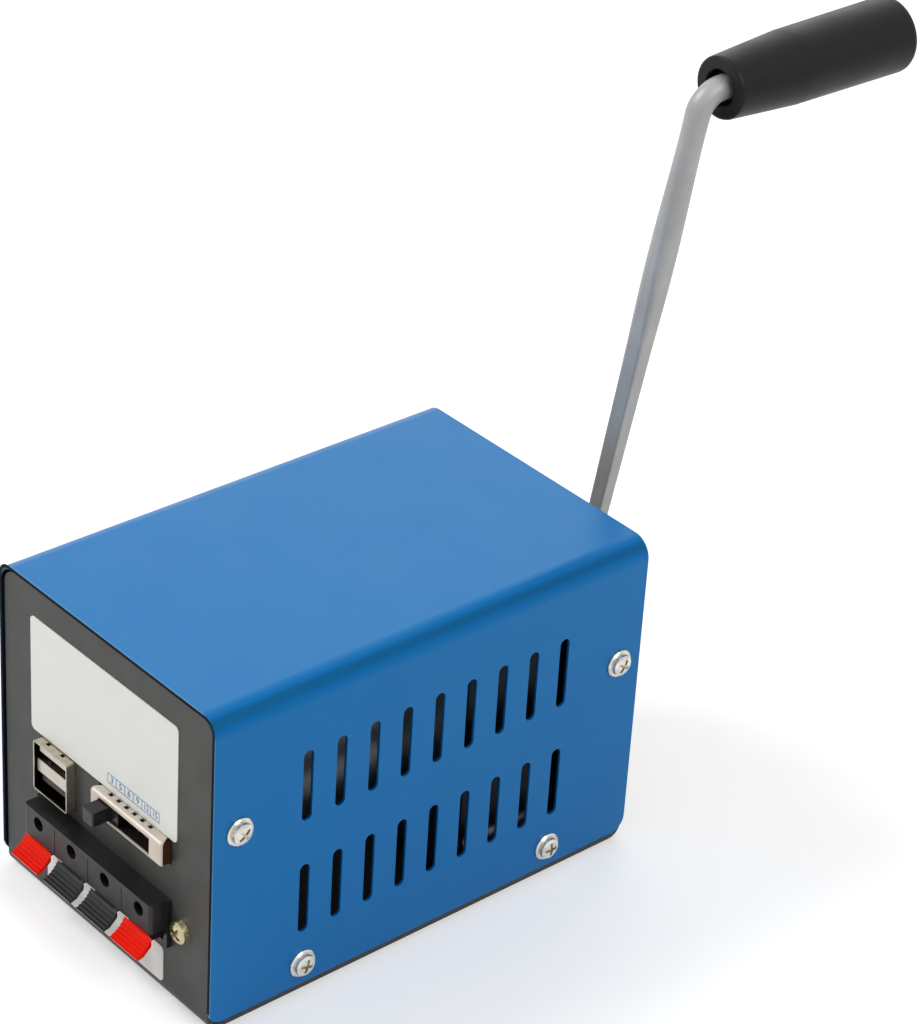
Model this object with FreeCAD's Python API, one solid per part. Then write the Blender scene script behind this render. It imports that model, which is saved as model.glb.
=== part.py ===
"""Hand crank generator: folded steel case, gear train, generator, selector, terminals and crank.

Millimetres. The origin is the centre of the underside, +Z is up, the front panel faces -Y and the
crank is at +Y. Every function returns the shape of one separately named piece.
"""
import math
import os

import FreeCAD
import Part

V = FreeCAD.Vector

# Case
CASE_W = 80.0            # over the cover's sides
CASE_L = 125.0           # front edge to rear edge of the cover
CASE_H = 84.0            # underside to the top of the cover
COVER_T = 0.8
COVER_BEND = 5.0         # outer radius of the two long bends
COVER_LIFT = 2.7         # lower edge above the underside
COVER_FRONT_R = 3.7      # lower front corner of each side
COVER_REAR_R = 4.0       # lower rear corner of each side
CHASSIS_T = 1.2
CHASSIS_BEND = 3.5       # outer radius of the front and rear bends
PANEL_INSET = 0.5        # panel behind the cover's front edge
COVER_GAP = 0.5          # chassis to the inside of the cover's sides
COVER_TOP_GAP = 0.6      # chassis to the inside of the cover's top
COVER_SHORT = 0.3        # cover's rear edge ahead of the rear panel's face
PANEL_GAP = 0.2          # cut-out to what passes through it

HALF_W = CASE_W / 2
FRONT_EDGE = -CASE_L / 2
REAR_EDGE = CASE_L / 2 - COVER_SHORT
PANEL_Y = FRONT_EDGE + PANEL_INSET
PANEL_BACK = PANEL_Y + CHASSIS_T
REAR_Y = CASE_L / 2
REAR_IN = REAR_Y - CHASSIS_T
CHASSIS_X = HALF_W - COVER_T - COVER_GAP
CHASSIS_TOP = CASE_H - COVER_T - COVER_TOP_GAP

# Ventilation slots, both sides
SLOT_W = 2.8
SLOT_LEN = 18.6
SLOT_PITCH = 9.3
SLOT_COUNT = 9
SLOT_SHIFT = 0.4         # of the rows' middle towards the rear
SLOT_FIRST_Y = SLOT_SHIFT - SLOT_PITCH * (SLOT_COUNT - 1) / 2
SLOT_ROWS_Z = (57.3, 26.7)

# Cover screws and the chassis tabs and flanges behind them, on each side
UPPER_SCREW_IN = 7.1     # from each end of the case
UPPER_SCREW_Z = 53.2
LOWER_SCREW_IN = 25.8
LOWER_SCREW_Z = 8.6
TAB_IN = 14.0            # inner edge of an upper tab from the end of the case
TAB_HALF_H = 8.25
FLANGE_IN = 10.5         # end of a lower flange from the end of the case
FLANGE_TOP = 15.0
COVER_SCREWS = [(side * (CASE_L / 2 - inward), z)
                for inward, z in ((UPPER_SCREW_IN, UPPER_SCREW_Z), (LOWER_SCREW_IN, LOWER_SCREW_Z))
                for side in (-1, 1)]
M3_R = 1.5
M3_TAP_R = 1.52
M3_HOLE_R = 1.7

# Labels
LABEL_T = 0.2
UPPER_LABEL = (-28.3, 26.9, 44.8, CASE_H - 8.7)
LOWER_LABEL = (-22.4, 22.4, 3.8, 13.7)
LABEL_R = 1.3

# Stacked USB sockets
USB_X = -17.9
USB_W = 13.1
USB_Z = 31.1
USB_H = 13.4
USB_WALL = 0.35
USB_OUT = 2.5            # in front of the panel
USB_DEPTH = 13.6
INSERT_IN = 1.0          # plastic insert behind the shell's front
UPPER_TONGUE = (0.95, 2.8)     # below the shell's top
MIDDLE_BLOCK = (5.4, 8.6)
LOWER_TONGUE = (9.2, 11.0)
LOWER_TONGUE_IN = 0.6    # lower tongue behind the middle block's front
TONGUE_SIDE = 1.0        # tongue's edge to the shell's wall
CONTACT_SUNK = 0.15
CONTACT_PROUD = 0.04
CONTACT_PITCH = 2.3
CONTACT_COUNT = 4
FINGER_DX = 2.75         # spring fingers either side of the middle
FINGER_W = 1.2
FINGER_H = 0.5
FINGER_IN = 1.8

# Six-way slide selector
SEL_X = 11.35
SEL_W = 26.7
SEL_Z = 41.3
SEL_H = 6.6
SEL_SHEET = 0.5
SEL_OUT = 2.8
SEL_CORNER = 1.4         # cut off the flanges' corners at the panel
SEL_WAYS_X = 10.75       # middle of the window and of the six ways
SEL_WINDOW_W = 19.0
SEL_WINDOW_H = 4.6
SEL_PITCH = 2.95
SEL_WAYS = 6
SEL_DEPTH = 7.0
SEL_TRACK = 3.2          # track's floor behind the frame's face
STUD_DZ = 1.3
STUD_R = 0.8
PIN_OF_STUD_R = 0.45
KNOB_W = 4.0
KNOB_H = 3.7
KNOB_OUT = 4.4
CARRIAGE_W = 6.4
CARRIAGE_LEFT = 1.9       # from the knob's middle to the carriage's left end
CARRIAGE_H = 4.8
KNOB_X = SEL_WAYS_X - SEL_PITCH * (SEL_WAYS - 1) / 2
SEL_FACE = PANEL_Y - SEL_OUT
SEL_FLOOR = SEL_FACE + SEL_TRACK

# Spring terminal block
TERM_X = 0.1
TERM_W = 48.5
TERM_CELLS_X = 0.75      # middle of the four cells
TERM_PITCH = 12.85
TERM_COUNT = 4
TERM_OUT = 5.3
TERM_Z0 = 20.4
TERM_Z1 = 28.4
TERM_CORNER_R = 1.0      # upright front corners of the block
TERM_FLANGE_T = 1.3
TERM_FLANGE_W = 50.2
TERM_FLANGE_Z0 = 15.6
TERM_REAR = 8.0          # housing behind the panel's face
TERM_REAR_IN = 0.4       # housing's ends inside the block's ends
TERM_REAR_Z = (16.7, TERM_Z1 - 0.6)
CELL_Z0 = 17.3
WIRE_Z = 25.4
WIRE_R = 1.75
TERM_FACE = PANEL_Y - TERM_OUT
CELL_HALF = 3.9
LEVER_HALF = 3.7
PAD_HALF = 5.1
PAD_OUT = 4.2            # lip of the thumb pad in front of the block
PAD_RIBS = 6
PIVOT_Y = PANEL_Y + 2.6
PIVOT_Z = 18.8
PIVOT_R = 1.0
RUN_FIT = 0.05           # radial clearance of running pairs
TERM_SCREW_X = 28.9
TERM_SCREW_Z = 22.3
STRAP_T = 1.0
STRAP_Z = (20.0, 26.5)
STRAP_ROOM = 0.6         # strap's cheeks to the block's housing
STRAP_FOOT = 3.2         # foot beyond the screw

# Crank, gear train and generator share one axis
AXIS_DROP = 45.0         # axis below the top of the cover
AXIS_Z = CASE_H - AXIS_DROP
CRANK_THROW = 150.0
CRANK_TILT = math.radians(10.2)
ARM_OUT = 16.5           # arm's middle behind the rear panel
ARM_Y = REAR_Y + ARM_OUT
ARM_BEND = 5.5
EYE_R = 7.5
EYE_HALF = 1.8
ROD_R = 2.85
PIN_R = 2.5
GRIP_OUT = 5.0           # grip's near end behind the arm's middle
GRIP_Y = ARM_Y + GRIP_OUT
GRIP_LEN = 55.0
GRIP_NECK_R = 7.35
GRIP_SHOULDER_R = 8.7
GRIP_END_R = 9.0
GRIP_SHOULDER = 20.5
GRIP_BORE_IN = 6.0       # depth of the recess in the grip's end
SHAFT_R = 4.0
SQUARE = 6.0             # across the shaft's square end
SQUARE_FIT = 0.03
# Arm sections: (from the axis, width, depth, corner radius)
ARM_SECTIONS = ((5.0, 3.6, 3.2, 0.4), (25.0, 3.9, 3.35, 0.4), (50.0, 4.4, 3.7, 0.45),
                (80.0, 5.0, 4.4, 0.8), (108.0, 6.2, 6.0, 2.4), (128.0, 5.8, 5.8, 2.75),
                (CRANK_THROW - ARM_BEND, 2 * ROD_R, 2 * ROD_R, ROD_R - 0.1))

# Gear train: (wheel teeth, pinion teeth, module); wheel drives pinion
STAGES = ((60, 12, 0.8), (42, 12, 0.7), (45, 12, 0.6))
PRESSURE = math.radians(20.0)
WHEEL_ADDENDUM = 0.75
PINION_ADDENDUM = 0.9
DEDENDUM = 1.25
TOOTH_THINNING = 0.12

FIRST_ANGLE = math.radians(120.0)     # first cluster seen from the crank's axis
FIRST_SHAFT_R = 2.0
SECOND_SHAFT_R = 1.75
BUSH_WALL = 1.2
PLATE_T = 2.0
FRONT_PLATE_T = 2.5
REAR_BAY = 3.8           # rear plate to the rear panel
WHEEL_BAY = 14.5         # between the mid and rear plates
SMALL_BAY = 22.0         # between the front and mid plates
REAR_PLATE = (REAR_IN - REAR_BAY - PLATE_T, REAR_IN - REAR_BAY)
MID_PLATE = (REAR_PLATE[0] - WHEEL_BAY - PLATE_T, REAR_PLATE[0] - WHEEL_BAY)
FRONT_PLATE = (MID_PLATE[0] - SMALL_BAY - FRONT_PLATE_T, MID_PLATE[0] - SMALL_BAY)
PLATE_HALF = CHASSIS_X - 6.2
PLATE_Z = (5.0, CHASSIS_TOP - 2.6)
LAYER_1 = (MID_PLATE[1] + 3.0, MID_PLATE[1] + 11.0)
LAYER_2 = (MID_PLATE[0] - 9.5, MID_PLATE[0] - 3.5)
LAYER_3 = (FRONT_PLATE[1] + 2.5, FRONT_PLATE[1] + 7.5)
STANDOFF_R = 3.0
STANDOFF_X = PLATE_HALF - 3.5
STANDOFF_AT = [(x, z) for z in (PLATE_Z[0] + 5.0, PLATE_Z[1] - 4.0) for x in (-STANDOFF_X, STANDOFF_X)]
SHROUD_SIDE = 1.4        # shroud's outside beyond the plates' edges
SHROUD_T = 1.2
SHROUD_Z0 = 17.0

# Circuit board
BOARD_SETBACK = 12.0     # behind the panel's face
BOARD_Y = PANEL_Y + BOARD_SETBACK
BOARD_T = 1.6
BOARD_BACK = BOARD_Y + BOARD_T
BOARD_HALF = 33.0
BOARD_Z = (8.0, CASE_H - 24.0)
BRACKET_XS = (-22.0, 22.0)

# Generator
CAN_R = 21.0
CAN_T = 1.5
LEAD_ROOM = 14.4         # board to the can
CAN_Y = (BOARD_BACK + LEAD_ROOM, FRONT_PLATE[0])
CAN_SCREW_X = 16.0
ROTOR_R = 13.0
ROTOR_SHAFT_R = 2.0
ROTOR_Y = (CAN_Y[0] + 12.0, CAN_Y[1] - 10.5)
POLES = 5
TAB_X = 12.0             # brush tabs either side of the axis
TAB_T = 0.6
TAB_OUT = 6.5            # behind the can's open end
LEAD_R = 0.8
BRACKET_T = 1.2
BRACKET_TOP = 16.0
BRACKET_SCREW_Z = 12.4
BRACKET_FOOT_Y = BOARD_BACK + 7.0
SINK_X = -24.0
SINK_W = 18.0
SINK_LEN = 18.0
SINK_T = 2.0
FIN_T = 1.2
FIN_H = 4.5
FIN_COUNT = 5


def box(x0, x1, y0, y1, z0, z1):
    """Block between two corners."""
    return Part.makeBox(x1 - x0, y1 - y0, z1 - z0, V(x0, y0, z0))


def cyl_x(y, z, r, x0, x1):
    """Cylinder along X."""
    return Part.makeCylinder(r, x1 - x0, V(x0, y, z), V(1, 0, 0))


def cyl_y(x, z, r, y0, y1):
    """Cylinder along Y."""
    return Part.makeCylinder(r, y1 - y0, V(x, y0, z), V(0, 1, 0))


def cyl_z(x, y, r, z0, z1):
    """Cylinder along Z."""
    return Part.makeCylinder(r, z1 - z0, V(x, y, z0), V(0, 0, 1))


def ring_y(x, z, r_in, r_out, y0, y1):
    """Tube along Y."""
    return cyl_y(x, z, r_out, y0, y1).cut(cyl_y(x, z, r_in, y0 - 1, y1 + 1))


def fuse(shapes):
    """One solid from touching shapes."""
    first, rest = shapes[0], list(shapes[1:])
    return (first.fuse(rest) if rest else first).removeSplitter()


def group(shapes):
    """Separate solids kept as one piece."""
    solids = []
    for shape in shapes:
        solids += shape.Solids
    return Part.makeCompound(solids)


def cut(shape, tools):
    """Shape less every tool."""
    return shape.cut(Part.makeCompound(list(tools)))


def prism_x(points, x0, x1):
    """Closed (y, z) outline extruded along X."""
    loop = [V(x0, y, z) for y, z in points]
    return Part.Face(Part.makePolygon(loop + loop[:1])).extrude(V(x1 - x0, 0, 0))


def prism_y(points, y0, y1):
    """Closed (x, z) outline extruded along Y."""
    loop = [V(x, y0, z) for x, z in points]
    return Part.Face(Part.makePolygon(loop + loop[:1])).extrude(V(0, y1 - y0, 0))


def revolve_y(x, z, profile):
    """Closed (radius, y) profile turned about a Y axis through (x, z)."""
    loop = [V(x + r, y, z) for r, y in profile]
    face = Part.Face(Part.makePolygon(loop + loop[:1]))
    return face.revolve(V(x, 0, z), V(0, 1, 0), 360)


def edges_along(shape, axis, test=None):
    """Straight edges parallel to an axis, optionally filtered by their midpoint."""
    found = []
    for edge in shape.Edges:
        if not isinstance(edge.Curve, Part.Line) and edge.Curve.TypeId != "Part::GeomLine":
            continue
        a, b = edge.Vertexes[0].Point, edge.Vertexes[-1].Point
        d = b.sub(a)
        if d.Length > 1e-6 and abs(d.normalize().dot(axis)) > 0.999:
            mid = a.add(b).multiply(0.5)
            if test is None or test(mid):
                found.append(edge)
    return found


def rounded(shape, radius, axis, test=None):
    """Shape with the chosen straight edges filleted."""
    return shape.makeFillet(radius, edges_along(shape, axis, test))


X, Y, Z = V(1, 0, 0), V(0, 1, 0), V(0, 0, 1)


def capsule_y(x, z, width, length, y0, y1):
    """Round-ended upright slot cutter along Y."""
    r, h = width / 2, length / 2 - width / 2
    return fuse([box(x - r, x + r, y0, y1, z - h, z + h), cyl_y(x, z - h, r, y0, y1),
                 cyl_y(x, z + h, r, y0, y1)])


def capsule_x(y, z, width, length, x0, x1):
    """Round-ended upright slot cutter along X."""
    r, h = width / 2, length / 2 - width / 2
    return fuse([box(x0, x1, y - r, y + r, z - h, z + h), cyl_x(y, z - h, r, x0, x1),
                 cyl_x(y, z + h, r, x0, x1)])


def cells():
    """Centres of the terminal's cells along X."""
    return [TERM_CELLS_X + TERM_PITCH * (i - (TERM_COUNT - 1) / 2) for i in range(TERM_COUNT)]


def chassis():
    """Front panel, floor and rear panel of one sheet, with the tabs that take the cover screws."""
    x = CHASSIS_X
    outer = box(-x, x, PANEL_Y, REAR_Y, 0, CHASSIS_TOP)
    outer = rounded(outer, CHASSIS_BEND, X, lambda m: m.z < 1)
    inner = box(-x - 5, x + 5, PANEL_BACK, REAR_IN, CHASSIS_T, CASE_H + 20)
    inner = rounded(inner, CHASSIS_BEND - CHASSIS_T, X, lambda m: m.z < CHASSIS_T + 1)
    sheet = outer.cut(inner)
    mask = rounded(box(-x, x, PANEL_Y - 1, REAR_Y + 1, -1, CHASSIS_TOP), COVER_BEND - COVER_T, Y,
                   lambda m: m.z > 10)
    sheet = sheet.common(mask)
    parts = [sheet]
    for side in (-1, 1):
        xa, xb = sorted((side * (x - CHASSIS_T), side * x))
        flange, tab = CASE_L / 2 - FLANGE_IN, CASE_L / 2 - TAB_IN
        low, high = UPPER_SCREW_Z - TAB_HALF_H, UPPER_SCREW_Z + TAB_HALF_H
        parts.append(box(xa, xb, -flange, flange, 0.2, FLANGE_TOP))
        parts.append(box(xa, xb, PANEL_BACK - 0.5, -tab, low, high))
        parts.append(box(xa, xb, tab, REAR_IN + 0.5, low, high))
    body = fuse(parts)
    cuts = [cyl_x(y, z, M3_TAP_R, -x - 2, x + 2) for y, z in COVER_SCREWS]
    g = PANEL_GAP
    y0, y1 = PANEL_Y - 1, PANEL_BACK + 1
    cuts.append(box(USB_X - USB_W / 2 - g, USB_X + USB_W / 2 + g, y0, y1, USB_Z - g, USB_Z + USB_H + g))
    cuts.append(box(SEL_X - SEL_W / 2 - g, SEL_X + SEL_W / 2 + g, y0, y1,
                    SEL_Z - SEL_H / 2 - g, SEL_Z + SEL_H / 2 + g))
    half = TERM_W / 2 - TERM_REAR_IN + g
    cuts.append(box(TERM_X - half, TERM_X + half, y0, y1, TERM_REAR_Z[0] - g, TERM_REAR_Z[1] + g))
    cuts.append(cyl_y(TERM_SCREW_X, TERM_SCREW_Z, M3_HOLE_R, y0, y1))
    cuts.append(cyl_y(0, AXIS_Z, 6.0, REAR_IN - 1, REAR_Y + 1))
    for sx, sz in STANDOFF_AT:
        cuts.append(cyl_y(sx, sz, M3_HOLE_R, REAR_IN - 1, REAR_Y + 1))
    for bx in BRACKET_XS:
        cuts.append(cyl_z(bx, BRACKET_FOOT_Y, M3_TAP_R, -1, CHASSIS_T + 1))
    return cut(body, cuts)


def cover():
    """Inverted U of painted sheet with two rows of slots in each side."""
    outer = rounded(box(-HALF_W, HALF_W, FRONT_EDGE, REAR_EDGE, COVER_LIFT, CASE_H), COVER_BEND, Y,
                    lambda m: m.z > 10)
    inner = rounded(box(-HALF_W + COVER_T, HALF_W - COVER_T, FRONT_EDGE - 5, REAR_EDGE + 5, -10,
                        CASE_H - COVER_T), COVER_BEND - COVER_T, Y, lambda m: m.z > 10)
    shell = outer.cut(inner)
    mask = box(-HALF_W - 1, HALF_W + 1, FRONT_EDGE, REAR_EDGE, COVER_LIFT, CASE_H + 1)
    mask = rounded(mask, COVER_FRONT_R, X, lambda m: m.z < 10 and m.y < 0)
    mask = rounded(mask, COVER_REAR_R, X, lambda m: m.z < 10 and m.y > 0)
    shell = shell.common(mask)
    x = HALF_W + 2
    cuts = [cyl_x(y, z, M3_HOLE_R, -x, x) for y, z in COVER_SCREWS]
    for z in SLOT_ROWS_Z:
        for i in range(SLOT_COUNT):
            y = SLOT_FIRST_Y + SLOT_PITCH * i
            for xa, xb in ((-x, -x + 6), (x - 6, x)):
                cuts.append(capsule_x(y, z, SLOT_W, SLOT_LEN, xa, xb))
    return cut(shell, cuts)


def phillips(top, depth, reach, width):
    """Cross recess cutter opening upwards at z = top."""
    a = box(-reach, reach, -width / 2, width / 2, top - depth, top + 1)
    b = box(-width / 2, width / 2, -reach, reach, top - depth, top + 1)
    return a.fuse(b)


def screw(head_r, head_h, flange_r, flange_t, shank_r, shank_len):
    """Domed cross-recess screw along +Z, head above z = 0."""
    profile = [(0, -shank_len), (shank_r - 0.3, -shank_len), (shank_r, -shank_len + 0.5), (shank_r, 0)]
    if flange_t > 0:
        profile += [(flange_r, 0), (flange_r, flange_t * 0.6), (flange_r - 0.3, flange_t)]
    profile += [(head_r, flange_t)]
    rise = head_h - flange_t
    for i in range(1, 5):
        a = math.radians(90 * i / 4)
        profile.append((head_r * math.cos(a) if i < 4 else 0, flange_t + rise * (0.35 + 0.65 * math.sin(a))))
    loop = [V(r, 0, z) for r, z in profile]
    body = Part.Face(Part.makePolygon(loop + loop[:1])).revolve(V(0, 0, 0), V(0, 0, 1), 360)
    return body.cut(phillips(head_h, head_h * 0.55, head_r * 0.62, head_r * 0.26))


def aim(shape, direction, at, spin=0.0):
    """Shape built along +Z, turned to a direction and moved to a point."""
    turned = shape.copy()
    if spin:
        turned.rotate(V(0, 0, 0), Z, spin)
    rotation = FreeCAD.Rotation(Z, direction)
    turned.Placement = FreeCAD.Placement(at, rotation).multiply(turned.Placement)
    return turned


def cover_screws():
    """Eight washer-head screws."""
    one = screw(2.75, 2.2, 3.5, 0.8, M3_R, 5.0)
    found = []
    for i, (y, z) in enumerate(COVER_SCREWS):
        found.append(aim(one, X, V(HALF_W, y, z), 40 + 17 * i))
        found.append(aim(one, -X, V(-HALF_W, y, z), 25 + 21 * i))
    return group(found)


def label(extent):
    """Thin plate with rounded corners on the front panel."""
    x0, x1, z0, z1 = extent
    return rounded(box(x0, x1, PANEL_Y - LABEL_T, PANEL_Y, z0, z1), LABEL_R, Y)


def upper_label():
    """White label above the sockets."""
    return label(UPPER_LABEL)


def lower_label():
    """White label below the terminal block."""
    return label(LOWER_LABEL)


def below_usb_top(depths):
    """Heights of two levels given as depths below the shell's top, lower one first."""
    return USB_Z + USB_H - depths[1], USB_Z + USB_H - depths[0]


def usb_shell():
    """Plated shell round two stacked ports, with a pair of spring fingers on its floor."""
    y0 = PANEL_Y - USB_OUT
    half = USB_W / 2
    top = USB_Z + USB_H
    shell = box(USB_X - half, USB_X + half, y0, y0 + USB_DEPTH, USB_Z, top)
    shell = rounded(shell, 0.7, Y)
    cavity = box(USB_X - half + USB_WALL, USB_X + half - USB_WALL, y0 - 1, y0 + USB_DEPTH - USB_WALL,
                 USB_Z + USB_WALL, top - USB_WALL)
    notches = [box(USB_X + dx - 0.6, USB_X + dx + 0.6, y0 + 1.2, y0 + 2.2, top - USB_WALL - 0.1, top + 1)
               for dx in (-FINGER_DX, FINGER_DX)]
    return fuse([cut(shell, [cavity] + notches)] + usb_fingers(USB_Z + USB_WALL - 0.1))


def usb_fingers(floor):
    """Low spring fingers standing on a port's floor."""
    y = PANEL_Y - USB_OUT + FINGER_IN
    return [box(USB_X + dx - FINGER_W / 2, USB_X + dx + FINGER_W / 2, y, y + 2.0, floor, floor + FINGER_H + 0.1)
            for dx in (-FINGER_DX, FINGER_DX)]


def usb_strips():
    """Contact strips under both tongues."""
    y0 = PANEL_Y - USB_OUT + INSERT_IN + LOWER_TONGUE_IN
    found = []
    for depths in (UPPER_TONGUE, LOWER_TONGUE):
        low = below_usb_top(depths)[0]
        for i in range(CONTACT_COUNT):
            x = USB_X + CONTACT_PITCH * (i - (CONTACT_COUNT - 1) / 2)
            found.append(box(x - 0.5, x + 0.5, y0 + 0.6, y0 + 7.6, low - CONTACT_PROUD, low + CONTACT_SUNK))
    return found


def usb_tongues():
    """Plastic insert: upper tongue, middle block with the lower tongue, and the rear wall."""
    front = PANEL_Y - USB_OUT + INSERT_IN
    back = PANEL_Y - USB_OUT + USB_DEPTH - USB_WALL
    inner = USB_W / 2 - USB_WALL
    half = USB_W / 2 - TONGUE_SIDE - USB_WALL
    parts = [box(USB_X - half, USB_X + half, front, back - 1.0, *below_usb_top(UPPER_TONGUE)),
             box(USB_X - inner, USB_X + inner, front, back - 1.0, *below_usb_top(MIDDLE_BLOCK)),
             box(USB_X - half, USB_X + half, front + LOWER_TONGUE_IN, back - 1.0,
                 *below_usb_top(LOWER_TONGUE)),
             box(USB_X - inner, USB_X + inner, back - 2.0, back, USB_Z + USB_WALL, USB_Z + USB_H - USB_WALL)]
    parts += usb_fingers(below_usb_top(MIDDLE_BLOCK)[1] - 0.1)
    return cut(fuse(parts), usb_strips())


def usb_contacts():
    """Four contact strips under each tongue."""
    return group(usb_strips())


def selector_frame():
    """Folded metal front of the slide selector, its flanges' corners cut off towards the panel."""
    sheet, window, half = SEL_SHEET, SEL_WINDOW_W / 2, SEL_WINDOW_H / 2
    x0, x1 = SEL_X - SEL_W / 2, SEL_X + SEL_W / 2
    z0, z1 = SEL_Z - SEL_H / 2, SEL_Z + SEL_H / 2
    back = SEL_FACE + SEL_DEPTH
    solid = rounded(box(x0, x1, SEL_FACE, back, z0, z1), 0.9, X, lambda m: m.y < SEL_FACE + 1)
    solid = rounded(solid, 0.7, Y, lambda m: True)
    inner = rounded(box(x0 - 1, x1 + 1, SEL_FACE + sheet, back + 1, z0 + sheet, z1 - sheet), 0.4, X,
                    lambda m: m.y < SEL_FACE + 1)
    cuts = [inner, box(SEL_WAYS_X - window, SEL_WAYS_X + window, SEL_FACE - 1, SEL_FACE + sheet + 0.2,
                       SEL_Z - half, SEL_Z + half)]
    for end, out in ((x0, -1), (x1, 1)):
        corner = [V(end, SEL_FACE + sheet, z0 - 1), V(end - out * SEL_CORNER, PANEL_Y, z0 - 1),
                  V(end - out * SEL_CORNER, back + 1, z0 - 1), V(end + out, back + 1, z0 - 1),
                  V(end + out, SEL_FACE + sheet, z0 - 1)]
        cuts.append(Part.Face(Part.makePolygon(corner + corner[:1])).extrude(V(0, 0, SEL_H + 2)))
    for x in way_xs():
        cuts.append(box(x - 0.65, x + 0.65, PANEL_Y - 1.3, PANEL_Y - 0.2, z1 - sheet - 0.1, z1 + 1))
    return cut(solid, cuts)


def way_xs():
    """The six ways of the selector along X."""
    return [SEL_WAYS_X + SEL_PITCH * (i - (SEL_WAYS - 1) / 2) for i in range(SEL_WAYS)]


def stud_places():
    """Centres of the two rows of studs as (x, z)."""
    return [(x, SEL_Z + dz) for x in way_xs() for dz in (-STUD_DZ, STUD_DZ)]


def selector_base():
    """Brown laminate body with the track of the slider."""
    sheet = SEL_SHEET
    x0, x1 = SEL_X - SEL_W / 2 + 0.1, SEL_X + SEL_W / 2 - 0.1
    z0, z1 = SEL_Z - SEL_H / 2 + sheet, SEL_Z + SEL_H / 2 - sheet
    body = box(x0, x1, SEL_FACE + sheet, SEL_FACE + SEL_DEPTH - 0.2, z0, z1)
    body = rounded(body, 0.4, X, lambda m: m.y < SEL_FACE + 1)
    track = box(x0 + 1.1, x1 - 1.1, SEL_FACE, SEL_FLOOR, z0 + 0.3, z1 - 0.3)
    pins = [cyl_y(x, z, PIN_OF_STUD_R, SEL_FLOOR - 1, BOARD_Y) for x, z in stud_places()]
    return cut(body, [track] + pins)


def selector_contacts():
    """Riveted studs in two rows, their pins reaching the board."""
    return group([fuse([cyl_y(x, z, PIN_OF_STUD_R, SEL_FLOOR - 0.2, BOARD_BACK + 0.8),
                        cyl_y(x, z, STUD_R, SEL_FLOOR - 0.2, SEL_FLOOR)]) for x, z in stud_places()])


def selector_knob():
    """Slider carriage and the finger that stands out of the window."""
    carriage = box(KNOB_X - CARRIAGE_LEFT, KNOB_X - CARRIAGE_LEFT + CARRIAGE_W, SEL_FACE + SEL_SHEET + 0.15, SEL_FLOOR - 0.5,
                   SEL_Z - CARRIAGE_H / 2, SEL_Z + CARRIAGE_H / 2)
    stem = box(KNOB_X - KNOB_W / 2, KNOB_X + KNOB_W / 2, SEL_FACE - KNOB_OUT, SEL_FACE + SEL_SHEET + 0.2,
               SEL_Z - KNOB_H / 2, SEL_Z + KNOB_H / 2)
    stem = rounded(stem, 0.4, Z, lambda m: m.y < SEL_FACE - 1)
    return fuse([carriage, stem])


def terminal_body():
    """Black block, flange and rear housing of the four spring terminals."""
    half = TERM_W / 2
    front = box(TERM_X - half, TERM_X + half, TERM_FACE, PANEL_Y, TERM_Z0, TERM_Z1)
    front = rounded(front, TERM_CORNER_R, Z, lambda m: m.y < TERM_FACE + 0.1)
    flange_half = TERM_FLANGE_W / 2
    flange = box(TERM_X - flange_half, TERM_X + flange_half, PANEL_Y - TERM_FLANGE_T, PANEL_Y,
                 TERM_FLANGE_Z0, TERM_Z1)
    rear = box(TERM_X - half + TERM_REAR_IN, TERM_X + half - TERM_REAR_IN, PANEL_Y, PANEL_Y + TERM_REAR,
               *TERM_REAR_Z)
    body = fuse([front, flange, rear])
    cuts = []
    for x in cells():
        cuts.append(box(x - CELL_HALF, x + CELL_HALF, TERM_FACE - 1, PANEL_Y + 4.8, CELL_Z0, TERM_Z0))
        cuts.append(cyl_y(x, WIRE_Z, WIRE_R, TERM_FACE - 1, PANEL_Y + 3.0))
        cuts.append(box(x - 2.4, x + 2.4, PANEL_Y + 2.5, PANEL_Y + 6.4, 21.6, 26.6))
        cuts.append(box(x - 1.0, x + 1.0, PANEL_Y + 6.0, PANEL_Y + TERM_REAR + 1, 23.4, 23.9))
        cuts.append(cyl_x(PIVOT_Y, PIVOT_Z, PIVOT_R + RUN_FIT, x - CELL_HALF - 0.75, x + CELL_HALF + 0.75))
    for a, b in zip(cells()[:-1], cells()[1:]):
        mid = (a + b) / 2
        cuts.append(box(mid - 0.1, mid + 0.1, TERM_FACE - 1, TERM_FACE + 0.12, TERM_Z0 - 1, TERM_Z1 - 1.0))
    return cut(body, cuts)


def lever(x):
    """Ribbed thumb lever of one cell with its two pivot stubs."""
    arm = prism_x([(PIVOT_Y + 1.3, PIVOT_Z - 1.1), (PIVOT_Y + 1.3, PIVOT_Z + 1.1), (PIVOT_Y - 1.0, PIVOT_Z + 1.3),
                   (TERM_FACE - 0.2, TERM_Z0 - 0.25), (TERM_FACE - 0.2, PIVOT_Z - 0.4),
                   (PIVOT_Y - 1.4, PIVOT_Z - 0.6)], x - LEVER_HALF, x + LEVER_HALF)
    top, lip = (TERM_FACE - 0.1, TERM_Z0 - 0.15), (TERM_FACE - PAD_OUT, TERM_Z0 - 3.95)
    outline = [top]
    for i in range(1, 2 * PAD_RIBS):
        t = i / (2 * PAD_RIBS)
        sag = 0.55 * math.sin(math.pi * t) + (0.28 if i % 2 else 0.0)
        outline.append((top[0] + (lip[0] - top[0]) * t + sag * 0.66, top[1] + (lip[1] - top[1]) * t - sag * 0.75))
    outline += [lip, (lip[0] + 0.35, lip[1] - 0.75), (TERM_FACE - 2.2, lip[1] - 0.3),
                (TERM_FACE - 0.1, PIVOT_Z - 0.7)]
    pad = prism_x(outline, x - PAD_HALF, x + PAD_HALF)
    stubs = cyl_x(PIVOT_Y, PIVOT_Z, PIVOT_R, x - LEVER_HALF - 0.75, x + LEVER_HALF + 0.75)
    return fuse([arm, pad, stubs])


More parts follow.
